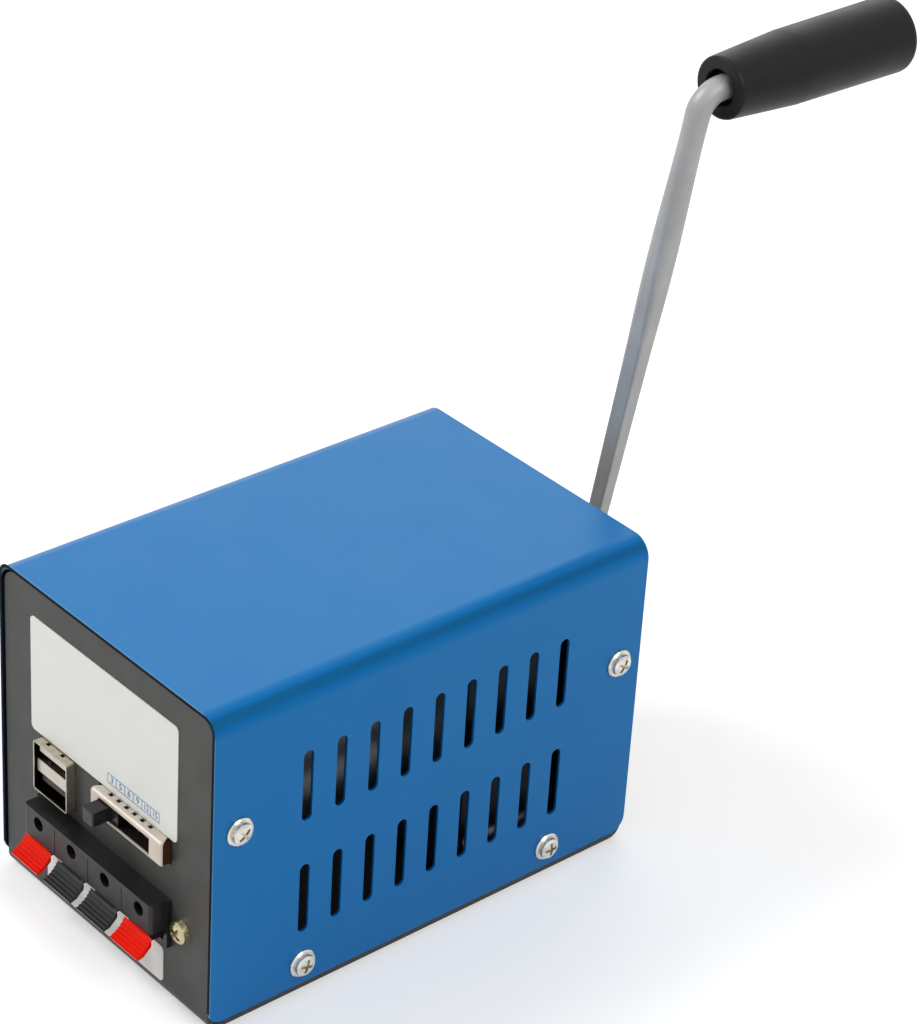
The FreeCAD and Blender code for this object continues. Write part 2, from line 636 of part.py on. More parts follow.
def terminal_clips():
    """Bent brass spring clip of each cell with its solder tail."""
    found = []
    for x in cells():
        wall = box(x - 2.0, x + 2.0, PANEL_Y + 5.6, PANEL_Y + 6.1, 21.8, 26.4)
        roof = box(x - 2.0, x + 2.0, PANEL_Y + 3.2, PANEL_Y + 6.1, 21.8, 22.3)
        tail = box(x - 1.0, x + 1.0, PANEL_Y + 5.6, PANEL_Y + TERM_REAR + 2.0, 23.4, 23.9)
        found.append(fuse([wall, roof, tail]))
    return group(found)


def terminal_bracket():
    """Steel strap over the housing: its right foot takes the screw, its left foot is welded on."""
    y0, y1 = PANEL_Y + TERM_REAR, PANEL_Y + TERM_REAR + STRAP_T
    half = TERM_W / 2 - TERM_REAR_IN + STRAP_ROOM
    low, high = STRAP_Z
    plate = box(TERM_X - half - STRAP_T, TERM_X + half + STRAP_T, y0, y1, low, high)
    parts = [cut(plate, [box(x - 1.4, x + 1.4, y0 - 1, y1 + 1, 22.8, 24.5) for x in cells()])]
    for side in (-1, 1):
        inner, outer = TERM_X + side * half, TERM_X + side * (half + STRAP_T)
        xa, xb = sorted((inner, outer))
        parts.append(box(xa, xb, PANEL_BACK, y1, low, high))
        end = TERM_SCREW_X + STRAP_FOOT if side > 0 else inner - 2 * STRAP_FOOT
        xa, xb = sorted((inner, end))
        foot = box(xa, xb, PANEL_BACK, PANEL_BACK + STRAP_T, low - 1.0, high)
        parts.append(foot.cut(cyl_y(TERM_SCREW_X, TERM_SCREW_Z, M3_HOLE_R, PANEL_BACK - 1, y1)))
    return fuse(parts)


def terminal_screws():
    """Pan-head screw beside the terminal block."""
    return aim(screw(2.95, 2.1, 0, 0, M3_R, 7.5), -Y, V(TERM_SCREW_X, PANEL_Y, TERM_SCREW_Z), 55)


def hexagon_y(x, z, across, y0, y1, bore):
    """Hexagonal nut along Y."""
    r = across / 2 / math.cos(math.pi / 6)
    points = [(x + r * math.cos(math.pi * i / 3), z + r * math.sin(math.pi * i / 3)) for i in range(6)]
    return prism_y(points, y0, y1).cut(cyl_y(x, z, bore, y0 - 1, y1 + 1))


def terminal_nuts():
    """Nut of the terminal block's screw."""
    y = PANEL_BACK + STRAP_T
    return hexagon_y(TERM_SCREW_X, TERM_SCREW_Z, 5.5, y, y + 2.4, M3_TAP_R)


def circuit_board():
    """Upright board behind the front panel."""
    board = box(-BOARD_HALF, BOARD_HALF, BOARD_Y, BOARD_BACK, *BOARD_Z)
    cuts = [cyl_y(x, z, PIN_OF_STUD_R + 0.05, BOARD_Y - 1, BOARD_BACK + 1) for x, z in stud_places()]
    cuts += [cyl_y(x, BRACKET_SCREW_Z, M3_TAP_R, BOARD_Y - 1, BOARD_BACK + 1) for x in BRACKET_XS]
    return cut(board, cuts)


def board_brackets():
    """Two angles between the board and the floor."""
    y = BOARD_BACK
    found = []
    for x in BRACKET_XS:
        leg = box(x - 4, x + 4, y, y + BRACKET_T, CHASSIS_T, BRACKET_TOP)
        foot = box(x - 4, x + 4, y, y + 11, CHASSIS_T, CHASSIS_T + BRACKET_T)
        angle = fuse([leg, foot])
        found.append(cut(angle, [cyl_y(x, BRACKET_SCREW_Z, M3_TAP_R, y - 1, y + 3),
                                 cyl_z(x, BRACKET_FOOT_Y, M3_TAP_R, 0, CHASSIS_T + 3)]))
    return group(found)


def board_screws():
    """Screws of the board's brackets."""
    found = []
    for x in BRACKET_XS:
        found.append(aim(screw(2.6, 1.9, 0, 0, M3_R, 4.0), Y,
                         V(x, BOARD_BACK + BRACKET_T, BRACKET_SCREW_Z)))
        found.append(aim(screw(2.6, 1.9, 0, 0, M3_R, 2.4), Z, V(x, BRACKET_FOOT_Y, CHASSIS_T + BRACKET_T)))
    return group(found)


def capacitors():
    """Two round capacitors lying behind the board, the large one low and the small one high."""
    found = []
    for x, z, r, length in ((-25.0, BRACKET_TOP + 6.5, 5.0, 14.0), (27.0, BOARD_Z[1] - 7.0, 4.0, 11.0)):
        y0, y1 = BOARD_BACK, BOARD_BACK + length
        can = cyl_y(x, z, r, y0 + 0.6, y1)
        can = can.makeFillet(0.5, [e for e in can.Edges if abs(e.CenterOfMass.y - y1) < 0.1])
        groove = ring_y(x, z, r - 0.35, r + 1, y0 + 2.2, y0 + 3.0)
        legs = [cyl_y(x + dx, z, 0.3, y0, y0 + 0.7) for dx in (-1.8, 1.8)]
        found.append(fuse([can.cut(groove)] + legs))
    return group(found)


def inductor():
    """Wound ring core on the board."""
    x, z = 24.0, BRACKET_TOP + 9.5
    ring = Part.makeTorus(5.0, 2.3, V(x, BOARD_BACK + 2.5, z), Y)
    legs = [cyl_y(x + dx, z, 0.4, BOARD_BACK, BOARD_BACK + 2.5) for dx in (-5.0, 5.0)]
    return fuse([ring] + legs)


def regulator():
    """Flat power transistor hanging under the heat sink."""
    y, top = BOARD_BACK, BOARD_Z[1] - SINK_T
    x = SINK_X
    tab = box(x - 5.0, x + 5.0, y + 4.0, y + 18.0, top - 1.3, top)
    body = box(x - 5.0, x + 5.0, y + 4.0, y + 12.5, top - 5.8, top - 1.3)
    legs = [box(x + dx - 0.35, x + dx + 0.35, y, y + 4.2, top - 3.5, top - 3.0) for dx in (-2.5, 0, 2.5)]
    return fuse([body, tab] + legs)


def heat_sink():
    """Finned aluminium plate over the regulator."""
    y0, y1, top = BOARD_BACK + 1.0, BOARD_BACK + SINK_LEN + 1.0, BOARD_Z[1]
    half = SINK_W / 2
    base = box(SINK_X - half, SINK_X + half, y0, y1, top - SINK_T, top)
    pitch = (SINK_W - FIN_T) / (FIN_COUNT - 1)
    fins = [box(SINK_X - half + pitch * i, SINK_X - half + pitch * i + FIN_T, y0, y1, top - 0.1, top + FIN_H)
            for i in range(FIN_COUNT)]
    return fuse([base] + fins)


def involute(angle):
    """Involute of an angle."""
    return math.tan(angle) - angle


def tooth_outline(teeth, module, addendum):
    """Half-angles of one tooth as (radius, half angle), from root to tip."""
    pitch_r = module * teeth / 2
    base_r = pitch_r * math.cos(PRESSURE)
    tip_r = pitch_r + addendum * module
    root_r = pitch_r - DEDENDUM * module
    thickness = math.pi / (2 * teeth) - TOOTH_THINNING / (2 * pitch_r)
    start = max(base_r, root_r)
    points = [(root_r, thickness + involute(PRESSURE))] if root_r < base_r else []
    steps = 4
    for i in range(steps + 1):
        r = start + (tip_r - start) * i / steps
        bend = involute(math.acos(min(1.0, base_r / r)))
        points.append((r, thickness + involute(PRESSURE) - bend))
    return points


def gear(x, z, teeth, module, addendum, phase, y0, y1):
    """Spur gear about a Y axis with a tooth centred at the phase angle."""
    flank = tooth_outline(teeth, module, addendum)
    points = []
    for i in range(teeth):
        middle = phase + 2 * math.pi * i / teeth
        for r, a in flank:
            points.append((x + r * math.cos(middle - a), z + r * math.sin(middle - a)))
        for r, a in reversed(flank):
            points.append((x + r * math.cos(middle + a), z + r * math.sin(middle + a)))
    return prism_y(points, y0, y1)


def centre_distance(stage):
    """Distance between the axes of a wheel and the pinion it drives."""
    wheel, pinion, module = STAGES[stage]
    return (wheel + pinion) * module / 2


def first_axis():
    """Axis of the first cluster as (x, z)."""
    d = centre_distance(0)
    return d * math.cos(FIRST_ANGLE), AXIS_Z + d * math.sin(FIRST_ANGLE)


def second_axis():
    """Axis of the second cluster, meshing with the first cluster and with the rotor."""
    d, near, far = centre_distance(0), centre_distance(2), centre_distance(1)
    bend = math.acos((d * d + near * near - far * far) / (2 * d * near))
    angle = FIRST_ANGLE - bend
    return near * math.cos(angle), AXIS_Z + near * math.sin(angle)


def direction(a, b):
    """Angle from one axis to another."""
    return math.atan2(b[1] - a[1], b[0] - a[0])


def wheel_and_pinion(stage, wheel_at, pinion_at, layer, overlap):
    """Meshing pair of one stage, wheel tooth and pinion gap on the line of centres."""
    wheel_teeth, pinion_teeth, module = STAGES[stage]
    toward = direction(wheel_at, pinion_at)
    wheel = gear(wheel_at[0], wheel_at[1], wheel_teeth, module, WHEEL_ADDENDUM, toward, *layer)
    pinion = gear(pinion_at[0], pinion_at[1], pinion_teeth, module, PINION_ADDENDUM,
                  toward + math.pi + math.pi / pinion_teeth, layer[0] - overlap, layer[1] + overlap)
    return wheel, pinion


def lightened(wheel, at, hub_r, hole_ring, hole_r, count, layer):
    """Wheel with round holes and a recessed web."""
    y0, y1 = layer
    cuts = []
    for i in range(count):
        a = 2 * math.pi * i / count
        cuts.append(cyl_y(at[0] + hole_ring * math.cos(a), at[1] + hole_ring * math.sin(a), hole_r, y0 - 1, y1 + 1))
    return cut(wheel, cuts)


def crank_gear():
    """Large wheel on the crank shaft."""
    wheel, _ = wheel_and_pinion(0, (0, AXIS_Z), first_axis(), LAYER_1, 0.8)
    wheel = lightened(wheel, (0, AXIS_Z), 7.0, 14.5, 4.0, 6, LAYER_1)
    hub = ring_y(0, AXIS_Z, SHAFT_R, 7.0, LAYER_1[1], LAYER_1[1] + 2.5)
    return fuse([wheel.cut(cyl_y(0, AXIS_Z, SHAFT_R, LAYER_1[0] - 1, LAYER_1[1] + 1)), hub])


def first_pinion():
    """Pinion of the first cluster cut on its shaft."""
    _, pinion = wheel_and_pinion(0, (0, AXIS_Z), first_axis(), LAYER_1, 0.8)
    x, z = first_axis()
    return fuse([pinion, cyl_y(x, z, FIRST_SHAFT_R, FRONT_PLATE[0] + 0.5, REAR_PLATE[1] - 0.4),
                 cyl_y(x, z, FIRST_SHAFT_R + 0.6, LAYER_2[1] + 0.8, MID_PLATE[0] - 0.5)])


def first_gear():
    """Wheel of the first cluster."""
    wheel, _ = wheel_and_pinion(1, first_axis(), second_axis(), LAYER_2, 0.8)
    at = first_axis()
    wheel = lightened(wheel, at, 5.0, 8.8, 2.4, 5, LAYER_2)
    hub = cyl_y(at[0], at[1], 4.5, LAYER_2[1], LAYER_2[1] + 0.8)
    return fuse([wheel, hub]).cut(cyl_y(at[0], at[1], FIRST_SHAFT_R, LAYER_2[0] - 1, LAYER_2[1] + 2))


def second_pinion():
    """Pinion of the second cluster cut on its shaft."""
    _, pinion = wheel_and_pinion(1, first_axis(), second_axis(), LAYER_2, 0.8)
    x, z = second_axis()
    return fuse([pinion, cyl_y(x, z, SECOND_SHAFT_R, FRONT_PLATE[0] + 0.5, MID_PLATE[1] - 0.4),
                 cyl_y(x, z, SECOND_SHAFT_R + 0.65, LAYER_3[1] + 0.8, LAYER_2[0] - 0.9)])


def second_gear():
    """Wheel of the second cluster."""
    wheel, _ = wheel_and_pinion(2, second_axis(), (0, AXIS_Z), LAYER_3, 0.8)
    at = second_axis()
    wheel = lightened(wheel, at, 4.0, 7.8, 2.0, 5, LAYER_3)
    hub = cyl_y(at[0], at[1], 4.0, LAYER_3[1], LAYER_3[1] + 0.8)
    return fuse([wheel, hub]).cut(cyl_y(at[0], at[1], SECOND_SHAFT_R, LAYER_3[0] - 1, LAYER_3[1] + 2))


def rotor_pinion():
    """Pinion on the rotor's shaft."""
    _, pinion = wheel_and_pinion(2, second_axis(), (0, AXIS_Z), LAYER_3, 0.8)
    return pinion.cut(cyl_y(0, AXIS_Z, ROTOR_SHAFT_R, LAYER_3[0] - 2, LAYER_3[1] + 2))


def plate(span, holes):
    """Gearbox plate with round holes given as (x, z, radius)."""
    sheet = box(-PLATE_HALF, PLATE_HALF, span[0], span[1], *PLATE_Z)
    sheet = rounded(sheet, 4.0, Y)
    return cut(sheet, [cyl_y(x, z, r, span[0] - 1, span[1] + 1) for x, z, r in holes])


def standoff_holes():
    """Screw holes at the standoffs."""
    return [(x, z, M3_HOLE_R) for x, z in STANDOFF_AT]


def gearbox_rear_plate():
    """Plate nearest the rear panel."""
    x1, z1 = first_axis()
    return plate(REAR_PLATE, standoff_holes() + [(0, AXIS_Z, 6.0), (x1, z1, FIRST_SHAFT_R + BUSH_WALL)])


def gearbox_mid_plate():
    """Plate between the first wheel and the smaller stages."""
    x1, z1 = first_axis()
    x2, z2 = second_axis()
    return plate(MID_PLATE, standoff_holes() + [(0, AXIS_Z, 6.0), (x1, z1, FIRST_SHAFT_R + BUSH_WALL),
                                                (x2, z2, SECOND_SHAFT_R + BUSH_WALL)])


def gearbox_front_plate():
    """Plate that carries the generator."""
    x1, z1 = first_axis()
    x2, z2 = second_axis()
    return plate(FRONT_PLATE, standoff_holes() + [(0, AXIS_Z, 6.0), (x1, z1, FIRST_SHAFT_R + BUSH_WALL),
                                                  (x2, z2, SECOND_SHAFT_R + BUSH_WALL), (-CAN_SCREW_X, AXIS_Z, M3_HOLE_R),
                                                  (CAN_SCREW_X, AXIS_Z, M3_HOLE_R)])


def shaft_bushes():
    """Bronze bushes of the three shafts."""
    x1, z1 = first_axis()
    x2, z2 = second_axis()
    found = []
    run = SHAFT_R + RUN_FIT
    rear = fuse([ring_y(0, AXIS_Z, run, 6.0, REAR_PLATE[0], REAR_Y + 1.5),
                 ring_y(0, AXIS_Z, run, 8.5, REAR_Y, REAR_Y + 1.5)])
    found.append(rear)
    found.append(ring_y(0, AXIS_Z, run, 6.0, MID_PLATE[0], MID_PLATE[1] + 1.5))
    for span in (REAR_PLATE, MID_PLATE, FRONT_PLATE):
        found.append(ring_y(x1, z1, FIRST_SHAFT_R + RUN_FIT, FIRST_SHAFT_R + BUSH_WALL, *span))
    for span in (MID_PLATE, FRONT_PLATE):
        found.append(ring_y(x2, z2, SECOND_SHAFT_R + RUN_FIT, SECOND_SHAFT_R + BUSH_WALL, *span))
    return group(found)


def gearbox_standoffs():
    """Round spacers between the plates and to the rear panel."""
    spans = ((FRONT_PLATE[1], MID_PLATE[0]), (MID_PLATE[1], REAR_PLATE[0]), (REAR_PLATE[1], REAR_IN))
    return group([ring_y(x, z, M3_TAP_R, STANDOFF_R, *span) for x, z in STANDOFF_AT for span in spans])


def gearbox_screws():
    """Screws through the rear panel and the front plate, and the generator's two."""
    long_screw = screw(2.75, 2.0, 0, 0, M3_R, 14.0)
    short_screw = screw(2.75, 2.0, 0, 0, M3_R, 10.0)
    can_screw = screw(2.6, 1.8, 0, 0, M3_R, 3.8)
    found = []
    for i, (x, z) in enumerate(STANDOFF_AT):
        found.append(aim(long_screw, Y, V(x, REAR_Y, z), 20 + 15 * i))
        found.append(aim(short_screw, -Y, V(x, FRONT_PLATE[0], z), 10 + 15 * i))
    for x in (-CAN_SCREW_X, CAN_SCREW_X):
        found.append(aim(can_screw, Y, V(x, FRONT_PLATE[1], AXIS_Z)))
    return group(found)


def gearbox_shroud():
    """Folded black guard over the gears."""
    x, t = PLATE_HALF + SHROUD_SIDE, SHROUD_T
    y0, y1 = FRONT_PLATE[0], REAR_PLATE[1]
    top = PLATE_Z[1] + 0.3
    outer = rounded(box(-x, x, y0, y1, SHROUD_Z0, top + t), 5.0, Y, lambda m: m.z > top)
    inner = rounded(box(-x + t, x - t, y0 - 1, y1 + 1, 0, top), 4.0, Y, lambda m: m.z > top - 1)
    return outer.cut(inner)


def generator_can():
    """Steel can of the generator, closed at the gear side."""
    y0, y1 = CAN_Y
    can = cyl_y(0, AXIS_Z, CAN_R, y0, y1)
    can = can.makeFillet(1.6, [e for e in can.Edges if abs(e.CenterOfMass.y - y1) < 0.1])
    boss = cyl_y(0, AXIS_Z, 5.9, y1 - 0.5, FRONT_PLATE[1] + 0.6)
    body = fuse([can, boss])
    bore = cyl_y(0, AXIS_Z, CAN_R - CAN_T, y0 - 1, y1 - 2.0)
    shaft = cyl_y(0, AXIS_Z, 3.2, y1 - 3, FRONT_PLATE[1] + 2)
    holes = [cyl_y(x, AXIS_Z, M3_TAP_R, y1 - 3, y1 + 1) for x in (-CAN_SCREW_X, CAN_SCREW_X)]
    vents = []
    for a in (45, 135, 225, 315):
        c, s = math.cos(math.radians(a)), math.sin(math.radians(a))
        vents.append(cyl_y(13.0 * c, AXIS_Z + 13.0 * s, 2.2, y1 - 3, y1 + 1))
    return cut(body, [bore, shaft] + holes + vents)


def generator_bearing():
    """Sintered bearing in the can's boss."""
    return ring_y(0, AXIS_Z, ROTOR_SHAFT_R + RUN_FIT, 3.2, CAN_Y[1] - 2.0, FRONT_PLATE[1] + 0.6)


def end_bell():
    """Plastic end of the generator with the rear bearing."""
    y0 = CAN_Y[0]
    cap = cyl_y(0, AXIS_Z, CAN_R - 0.4, y0 - 3.0, y0)
    plug = ring_y(0, AXIS_Z, CAN_R - CAN_T - 2.4, CAN_R - CAN_T - 0.02, y0, y0 + 4.0)
    boss = cyl_y(0, AXIS_Z, 5.0, y0 - 5.0, y0 - 2.0)
    body = fuse([cap, plug, boss])
    cuts = [cyl_y(0, AXIS_Z, ROTOR_SHAFT_R + RUN_FIT, y0 - 4.2, y0 + 1)]
    for x in (-TAB_X, TAB_X):
        cuts.append(box(x - 1.45, x + 1.45, y0 - 4, y0 + 1, AXIS_Z - TAB_T / 2 - 0.02, AXIS_Z + TAB_T / 2 + 0.02))
    return cut(body, cuts)


def brushes():
    """Two carbon brushes with their terminal tabs."""
    y0 = CAN_Y[0]
    found = []
    for side in (-1, 1):
        xa, xb = sorted((side * 4.75, side * 9.0))
        block = box(xa, xb, y0 + 3.0, y0 + 8.0, AXIS_Z - 2, AXIS_Z + 2)
        xa, xb = sorted((side * 8.5, side * (TAB_X + 1.4)))
        arm = box(xa, xb, y0 + 4.2, y0 + 4.8, AXIS_Z - 1.0, AXIS_Z + 1.0)
        xa, xb = sorted((side * (TAB_X - 1.4), side * (TAB_X + 1.4)))
        tab = box(xa, xb, y0 - TAB_OUT, y0 + 4.8, AXIS_Z - TAB_T / 2, AXIS_Z + TAB_T / 2)
        found.append(fuse([block, arm, tab]))
    return group(found)


def magnets():
    """Two curved magnets inside the can."""
    r_out, r_in = CAN_R - CAN_T - 0.02, ROTOR_R + 0.8
    tube = ring_y(0, AXIS_Z, r_in, r_out, CAN_Y[0] + 9.0, CAN_Y[1] - 5.0)
    found = []
    for side in (-1, 1):
        wedge = prism_y([(0, AXIS_Z), (30 * math.cos(0.4), AXIS_Z + side * 30 * math.sin(0.4)),
                         (30, AXIS_Z + side * 60), (-30, AXIS_Z + side * 60),
                         (-30 * math.cos(0.4), AXIS_Z + side * 30 * math.sin(0.4))], CAN_Y[0], CAN_Y[1])
        found.append(tube.common(wedge))
    return group(found)


def rotor_shaft():
    """Shaft of the generator."""
    return cyl_y(0, AXIS_Z, ROTOR_SHAFT_R, CAN_Y[0] - 3.8, LAYER_3[1] + 1.4)


def rotor_core():
    """Laminated five-pole core."""
    body = cyl_y(0, AXIS_Z, ROTOR_R, *ROTOR_Y)
    cuts = [cyl_y(0, AXIS_Z, ROTOR_SHAFT_R, ROTOR_Y[0] - 1, ROTOR_Y[1] + 1)]
    for i in range(POLES):
        a = 2 * math.pi * i / POLES
        c, s = math.cos(a), math.sin(a)
        cuts.append(cyl_y(9.0 * c, AXIS_Z + 9.0 * s, 2.7, ROTOR_Y[0] - 1, ROTOR_Y[1] + 1))
        mouth = box(9.0, ROTOR_R + 1, ROTOR_Y[0] - 1, ROTOR_Y[1] + 1, -0.8, 0.8)
        mouth.rotate(V(0, 0, 0), Y, -math.degrees(a))
        mouth.translate(V(0, 0, AXIS_Z))
        cuts.append(mouth)
    return cut(body, cuts)


def rotor_windings():
    """Copper coils standing out of both ends of the core."""
    found = []
    for y0, y1 in ((ROTOR_Y[0] - 3.5, ROTOR_Y[0]), (ROTOR_Y[1], ROTOR_Y[1] + 3.5)):
        coil = ring_y(0, AXIS_Z, 4.6, 12.2, y0, y1)
        free = [e for e in coil.Edges if e.Curve.TypeId == "Part::GeomCircle" and e.Curve.Radius > 11
                and abs(e.CenterOfMass.y - (y0 if y0 < ROTOR_Y[0] else y1)) < 0.1]
        found.append(coil.makeFillet(1.4, free))
    for i in range(POLES):
        a = 2 * math.pi * i / POLES
        x, z = 9.0 * math.cos(a), AXIS_Z + 9.0 * math.sin(a)
        found.append(cyl_y(x, z, 2.5, *ROTOR_Y))
    return fuse(found)


def commutator():
    """Segmented copper commutator."""
    body = ring_y(0, AXIS_Z, ROTOR_SHAFT_R, 4.5, CAN_Y[0] + 2.5, ROTOR_Y[0] - 3.6)
    cuts = []
    for i in range(POLES):
        slit = box(3.6, 5.5, CAN_Y[0] + 1, ROTOR_Y[0] - 6.0, -0.2, 0.2)
        slit.rotate(V(0, 0, 0), Y, -360.0 * i / POLES)
        slit.translate(V(0, 0, AXIS_Z))
        cuts.append(slit)
    return cut(body, cuts)


def pipe(points, radius):
    """Round lead along straight runs joined by tangent arcs through the inner points."""
    points = [V(*p) for p in points]
    edges, last, radii = [], points[0], []
    for before, here, after in zip(points[:-2], points[1:-1], points[2:]):
        into, out = here.sub(before), after.sub(here)
        shorter = min(into.Length, out.Length)
        into.normalize()
        out.normalize()
        turn = into.getAngle(out)
        reach = 0.45 * shorter
        radii.append(reach / math.tan(turn / 2))
        start, end = here.sub(into * reach), here.add(out * reach)
        to_centre = out.sub(into).normalize()
        centre = here.add(to_centre * (radii[-1] / math.cos(turn / 2)))
        middle = centre.sub(to_centre * radii[-1])
        edges += [Part.makeLine(last, start), Part.Arc(start, middle, end).toShape()]
        last = end
    edges.append(Part.makeLine(last, points[-1]))
    path = Part.Wire(edges)
    disc = Part.Wire([Part.makeCircle(radius, points[0], points[1].sub(points[0]))])
    print("lead radii " + " ".join("%.1f" % r for r in radii))
    return path.makePipeShell([disc], True, False)


def lead(side, bends):
    """Lead from a brush tab's upper face, over the end bell's edge, to the board."""
    start = (side * TAB_X, CAN_Y[0] - TAB_OUT + 1.2, AXIS_Z + TAB_T / 2)
    inner = [(side * x, CAN_Y[0] - before, AXIS_Z + up) for x, before, up in bends]
    end = (inner[-1][0], BOARD_BACK, inner[-1][2])
    return pipe([start] + inner + [end], LEAD_R)


def red_lead():
    """Positive lead from the generator to the board."""
    return lead(1, [(12.0, 5.3, 4.5), (17.5, 6.6, 7.5), (24.0, 7.0, 6.5), (28.5, 7.4, 2.0),
                    (30.0, 10.0, -2.5)])


def black_lead():
    """Negative lead from the generator to the board."""
    return lead(-1, [(12.0, 5.3, 4.5), (17.5, 6.8, 7.0), (23.5, 8.0, 5.5), (27.5, 10.0, 1.0)])


def square_end(half, y0, y1):
    """Square with turned corners about the Y axis through the origin."""
    return cyl_y(0, 0, half * 1.2, y0, y1).common(box(-half, half, y0, y1, -half, half))


def crank_shaft():
    """Stepped shaft from the gear to the nut."""
    main = cyl_y(0, AXIS_Z, SHAFT_R, MID_PLATE[0] + 0.3, ARM_Y - EYE_HALF)
    square = square_end(SQUARE / 2, ARM_Y - EYE_HALF, ARM_Y + EYE_HALF)
    square.rotate(V(0, 0, 0), Y, math.degrees(CRANK_TILT))
    square.translate(V(0, 0, AXIS_Z))
    thread = cyl_y(0, AXIS_Z, 2.5, ARM_Y + EYE_HALF, ARM_Y + EYE_HALF + 4.2)
    return fuse([main, square, thread])


def crank_hub():
    """Collar between the rear panel and the arm."""
    y0, y1 = REAR_Y + 2.2, ARM_Y - EYE_HALF
    return revolve_y(0, AXIS_Z, [(SHAFT_R, y0), (8.0, y0), (8.0, y0 + 5.0), (7.0, y0 + 6.5), (7.0, y1), (SHAFT_R, y1)])


def crank_nut():
    """Domed nut on the shaft's end."""
    y = ARM_Y + EYE_HALF
    across = 10.0
    r = across / 2 / math.cos(math.pi / 6)
    points = [(r * math.cos(math.pi * i / 3), AXIS_Z + r * math.sin(math.pi * i / 3)) for i in range(6)]
    body = prism_y(points, y, y + 4.5)
    dome = revolve_y(0, AXIS_Z, [(0, y + 4.4), (4.6, y + 4.4), (4.1, y + 6.4), (2.6, y + 7.8), (0, y + 8.3)])
    return fuse([body, dome]).cut(cyl_y(0, AXIS_Z, 2.5, y - 1, y + 4.2))


def arm_section(s, width, depth, corner):
    """Cross-section of the arm at distance s from the shaft, a rectangle with round corners."""
    w, d = width / 2, depth / 2
    edges = []
    for i, (sx, sy) in enumerate(((1, 1), (-1, 1), (-1, -1), (1, -1))):
        cx, cy = sx * (w - corner), ARM_Y + sy * (d - corner)
        a = math.radians(90 * i)
        ends = [V(cx + corner * math.cos(a + t), cy + corner * math.sin(a + t), s)
                for t in (0, math.pi / 4, math.pi / 2)]
        edges.append(Part.Arc(*ends).toShape())
    closed = []
    for i, edge in enumerate(edges):
        following = edges[(i + 1) % 4]
        closed += [edge, Part.makeLine(edge.valueAt(edge.LastParameter),
                                       following.valueAt(following.FirstParameter))]
    return Part.Wire(closed)


def crank_arm():
    """Eye, square-to-round arm, bend and the pin that carries the grip."""
    sections = [arm_section(*s) for s in ARM_SECTIONS]
    arm = Part.makeLoft(sections, True, False)
    eye = cyl_y(0, 0, EYE_R, ARM_Y - EYE_HALF, ARM_Y + EYE_HALF)
    eye = eye.makeFillet(0.5, [e for e in eye.Edges if e.Curve.TypeId == "Part::GeomCircle"])
    top = CRANK_THROW
    end = Part.Face(sections[-1])
    bend = end.revolve(V(0, ARM_Y + ARM_BEND, top - ARM_BEND), X, -90)
    turned = end.copy()
    turned.rotate(V(0, ARM_Y + ARM_BEND, top - ARM_BEND), X, -90)
    neck = turned.extrude(V(0, GRIP_Y + 2.6 - ARM_Y - ARM_BEND, 0))
    pin = cyl_y(0, top, PIN_R, GRIP_Y + 2.6, GRIP_Y + GRIP_LEN - 5.0)
    shape = fuse([eye, arm, bend, neck, pin])
    shape = shape.cut(square_end(SQUARE / 2 + SQUARE_FIT, ARM_Y - 3, ARM_Y + 3))
    shape.rotate(V(0, 0, 0), Y, math.degrees(CRANK_TILT))
    shape.translate(V(0, 0, AXIS_Z))
    return shape


def grip_axis():
    """Axis of the grip as (x, z)."""
    return CRANK_THROW * math.sin(CRANK_TILT), AXIS_Z + CRANK_THROW * math.cos(CRANK_TILT)


def grip():
    """Moulded handle with a tapered neck, turning on the pin."""
    x, z = grip_axis()
    y0, y1 = GRIP_Y, GRIP_Y + GRIP_LEN
    profile = [(4.2, y0 + 0.3), (4.5, y0), (GRIP_NECK_R - 0.6, y0), (GRIP_NECK_R - 0.15, y0 + 0.25),
               (GRIP_NECK_R, y0 + 0.8), (GRIP_SHOULDER_R, y0 + GRIP_SHOULDER)]
    for i in range(6):
        a = math.radians(90 * i / 5)
        profile.append((GRIP_END_R - 1.6 * (1 - math.cos(a)), y1 - 1.6 * (1 - math.sin(a))))
    floor = y1 - GRIP_BORE_IN
    profile += [(6.0, y1), (6.0, floor), (PIN_R + RUN_FIT, floor), (PIN_R + RUN_FIT, y0 + 3.0),
                (4.2, y0 + 3.0)]
    return revolve_y(x, z, profile)


def grip_washer():
    """Push-on washer that keeps the grip on the pin."""
    x, z = grip_axis()
    y = GRIP_Y + GRIP_LEN - GRIP_BORE_IN + 0.3
    return ring_y(x, z, PIN_R, 4.6, y, y + 0.6)


def grip_cap():
    """Round plug in the end of the grip."""
    x, z = grip_axis()
    y = GRIP_Y + GRIP_LEN
    return cyl_y(x, z, 6.0, y - 2.2, y - 0.2)


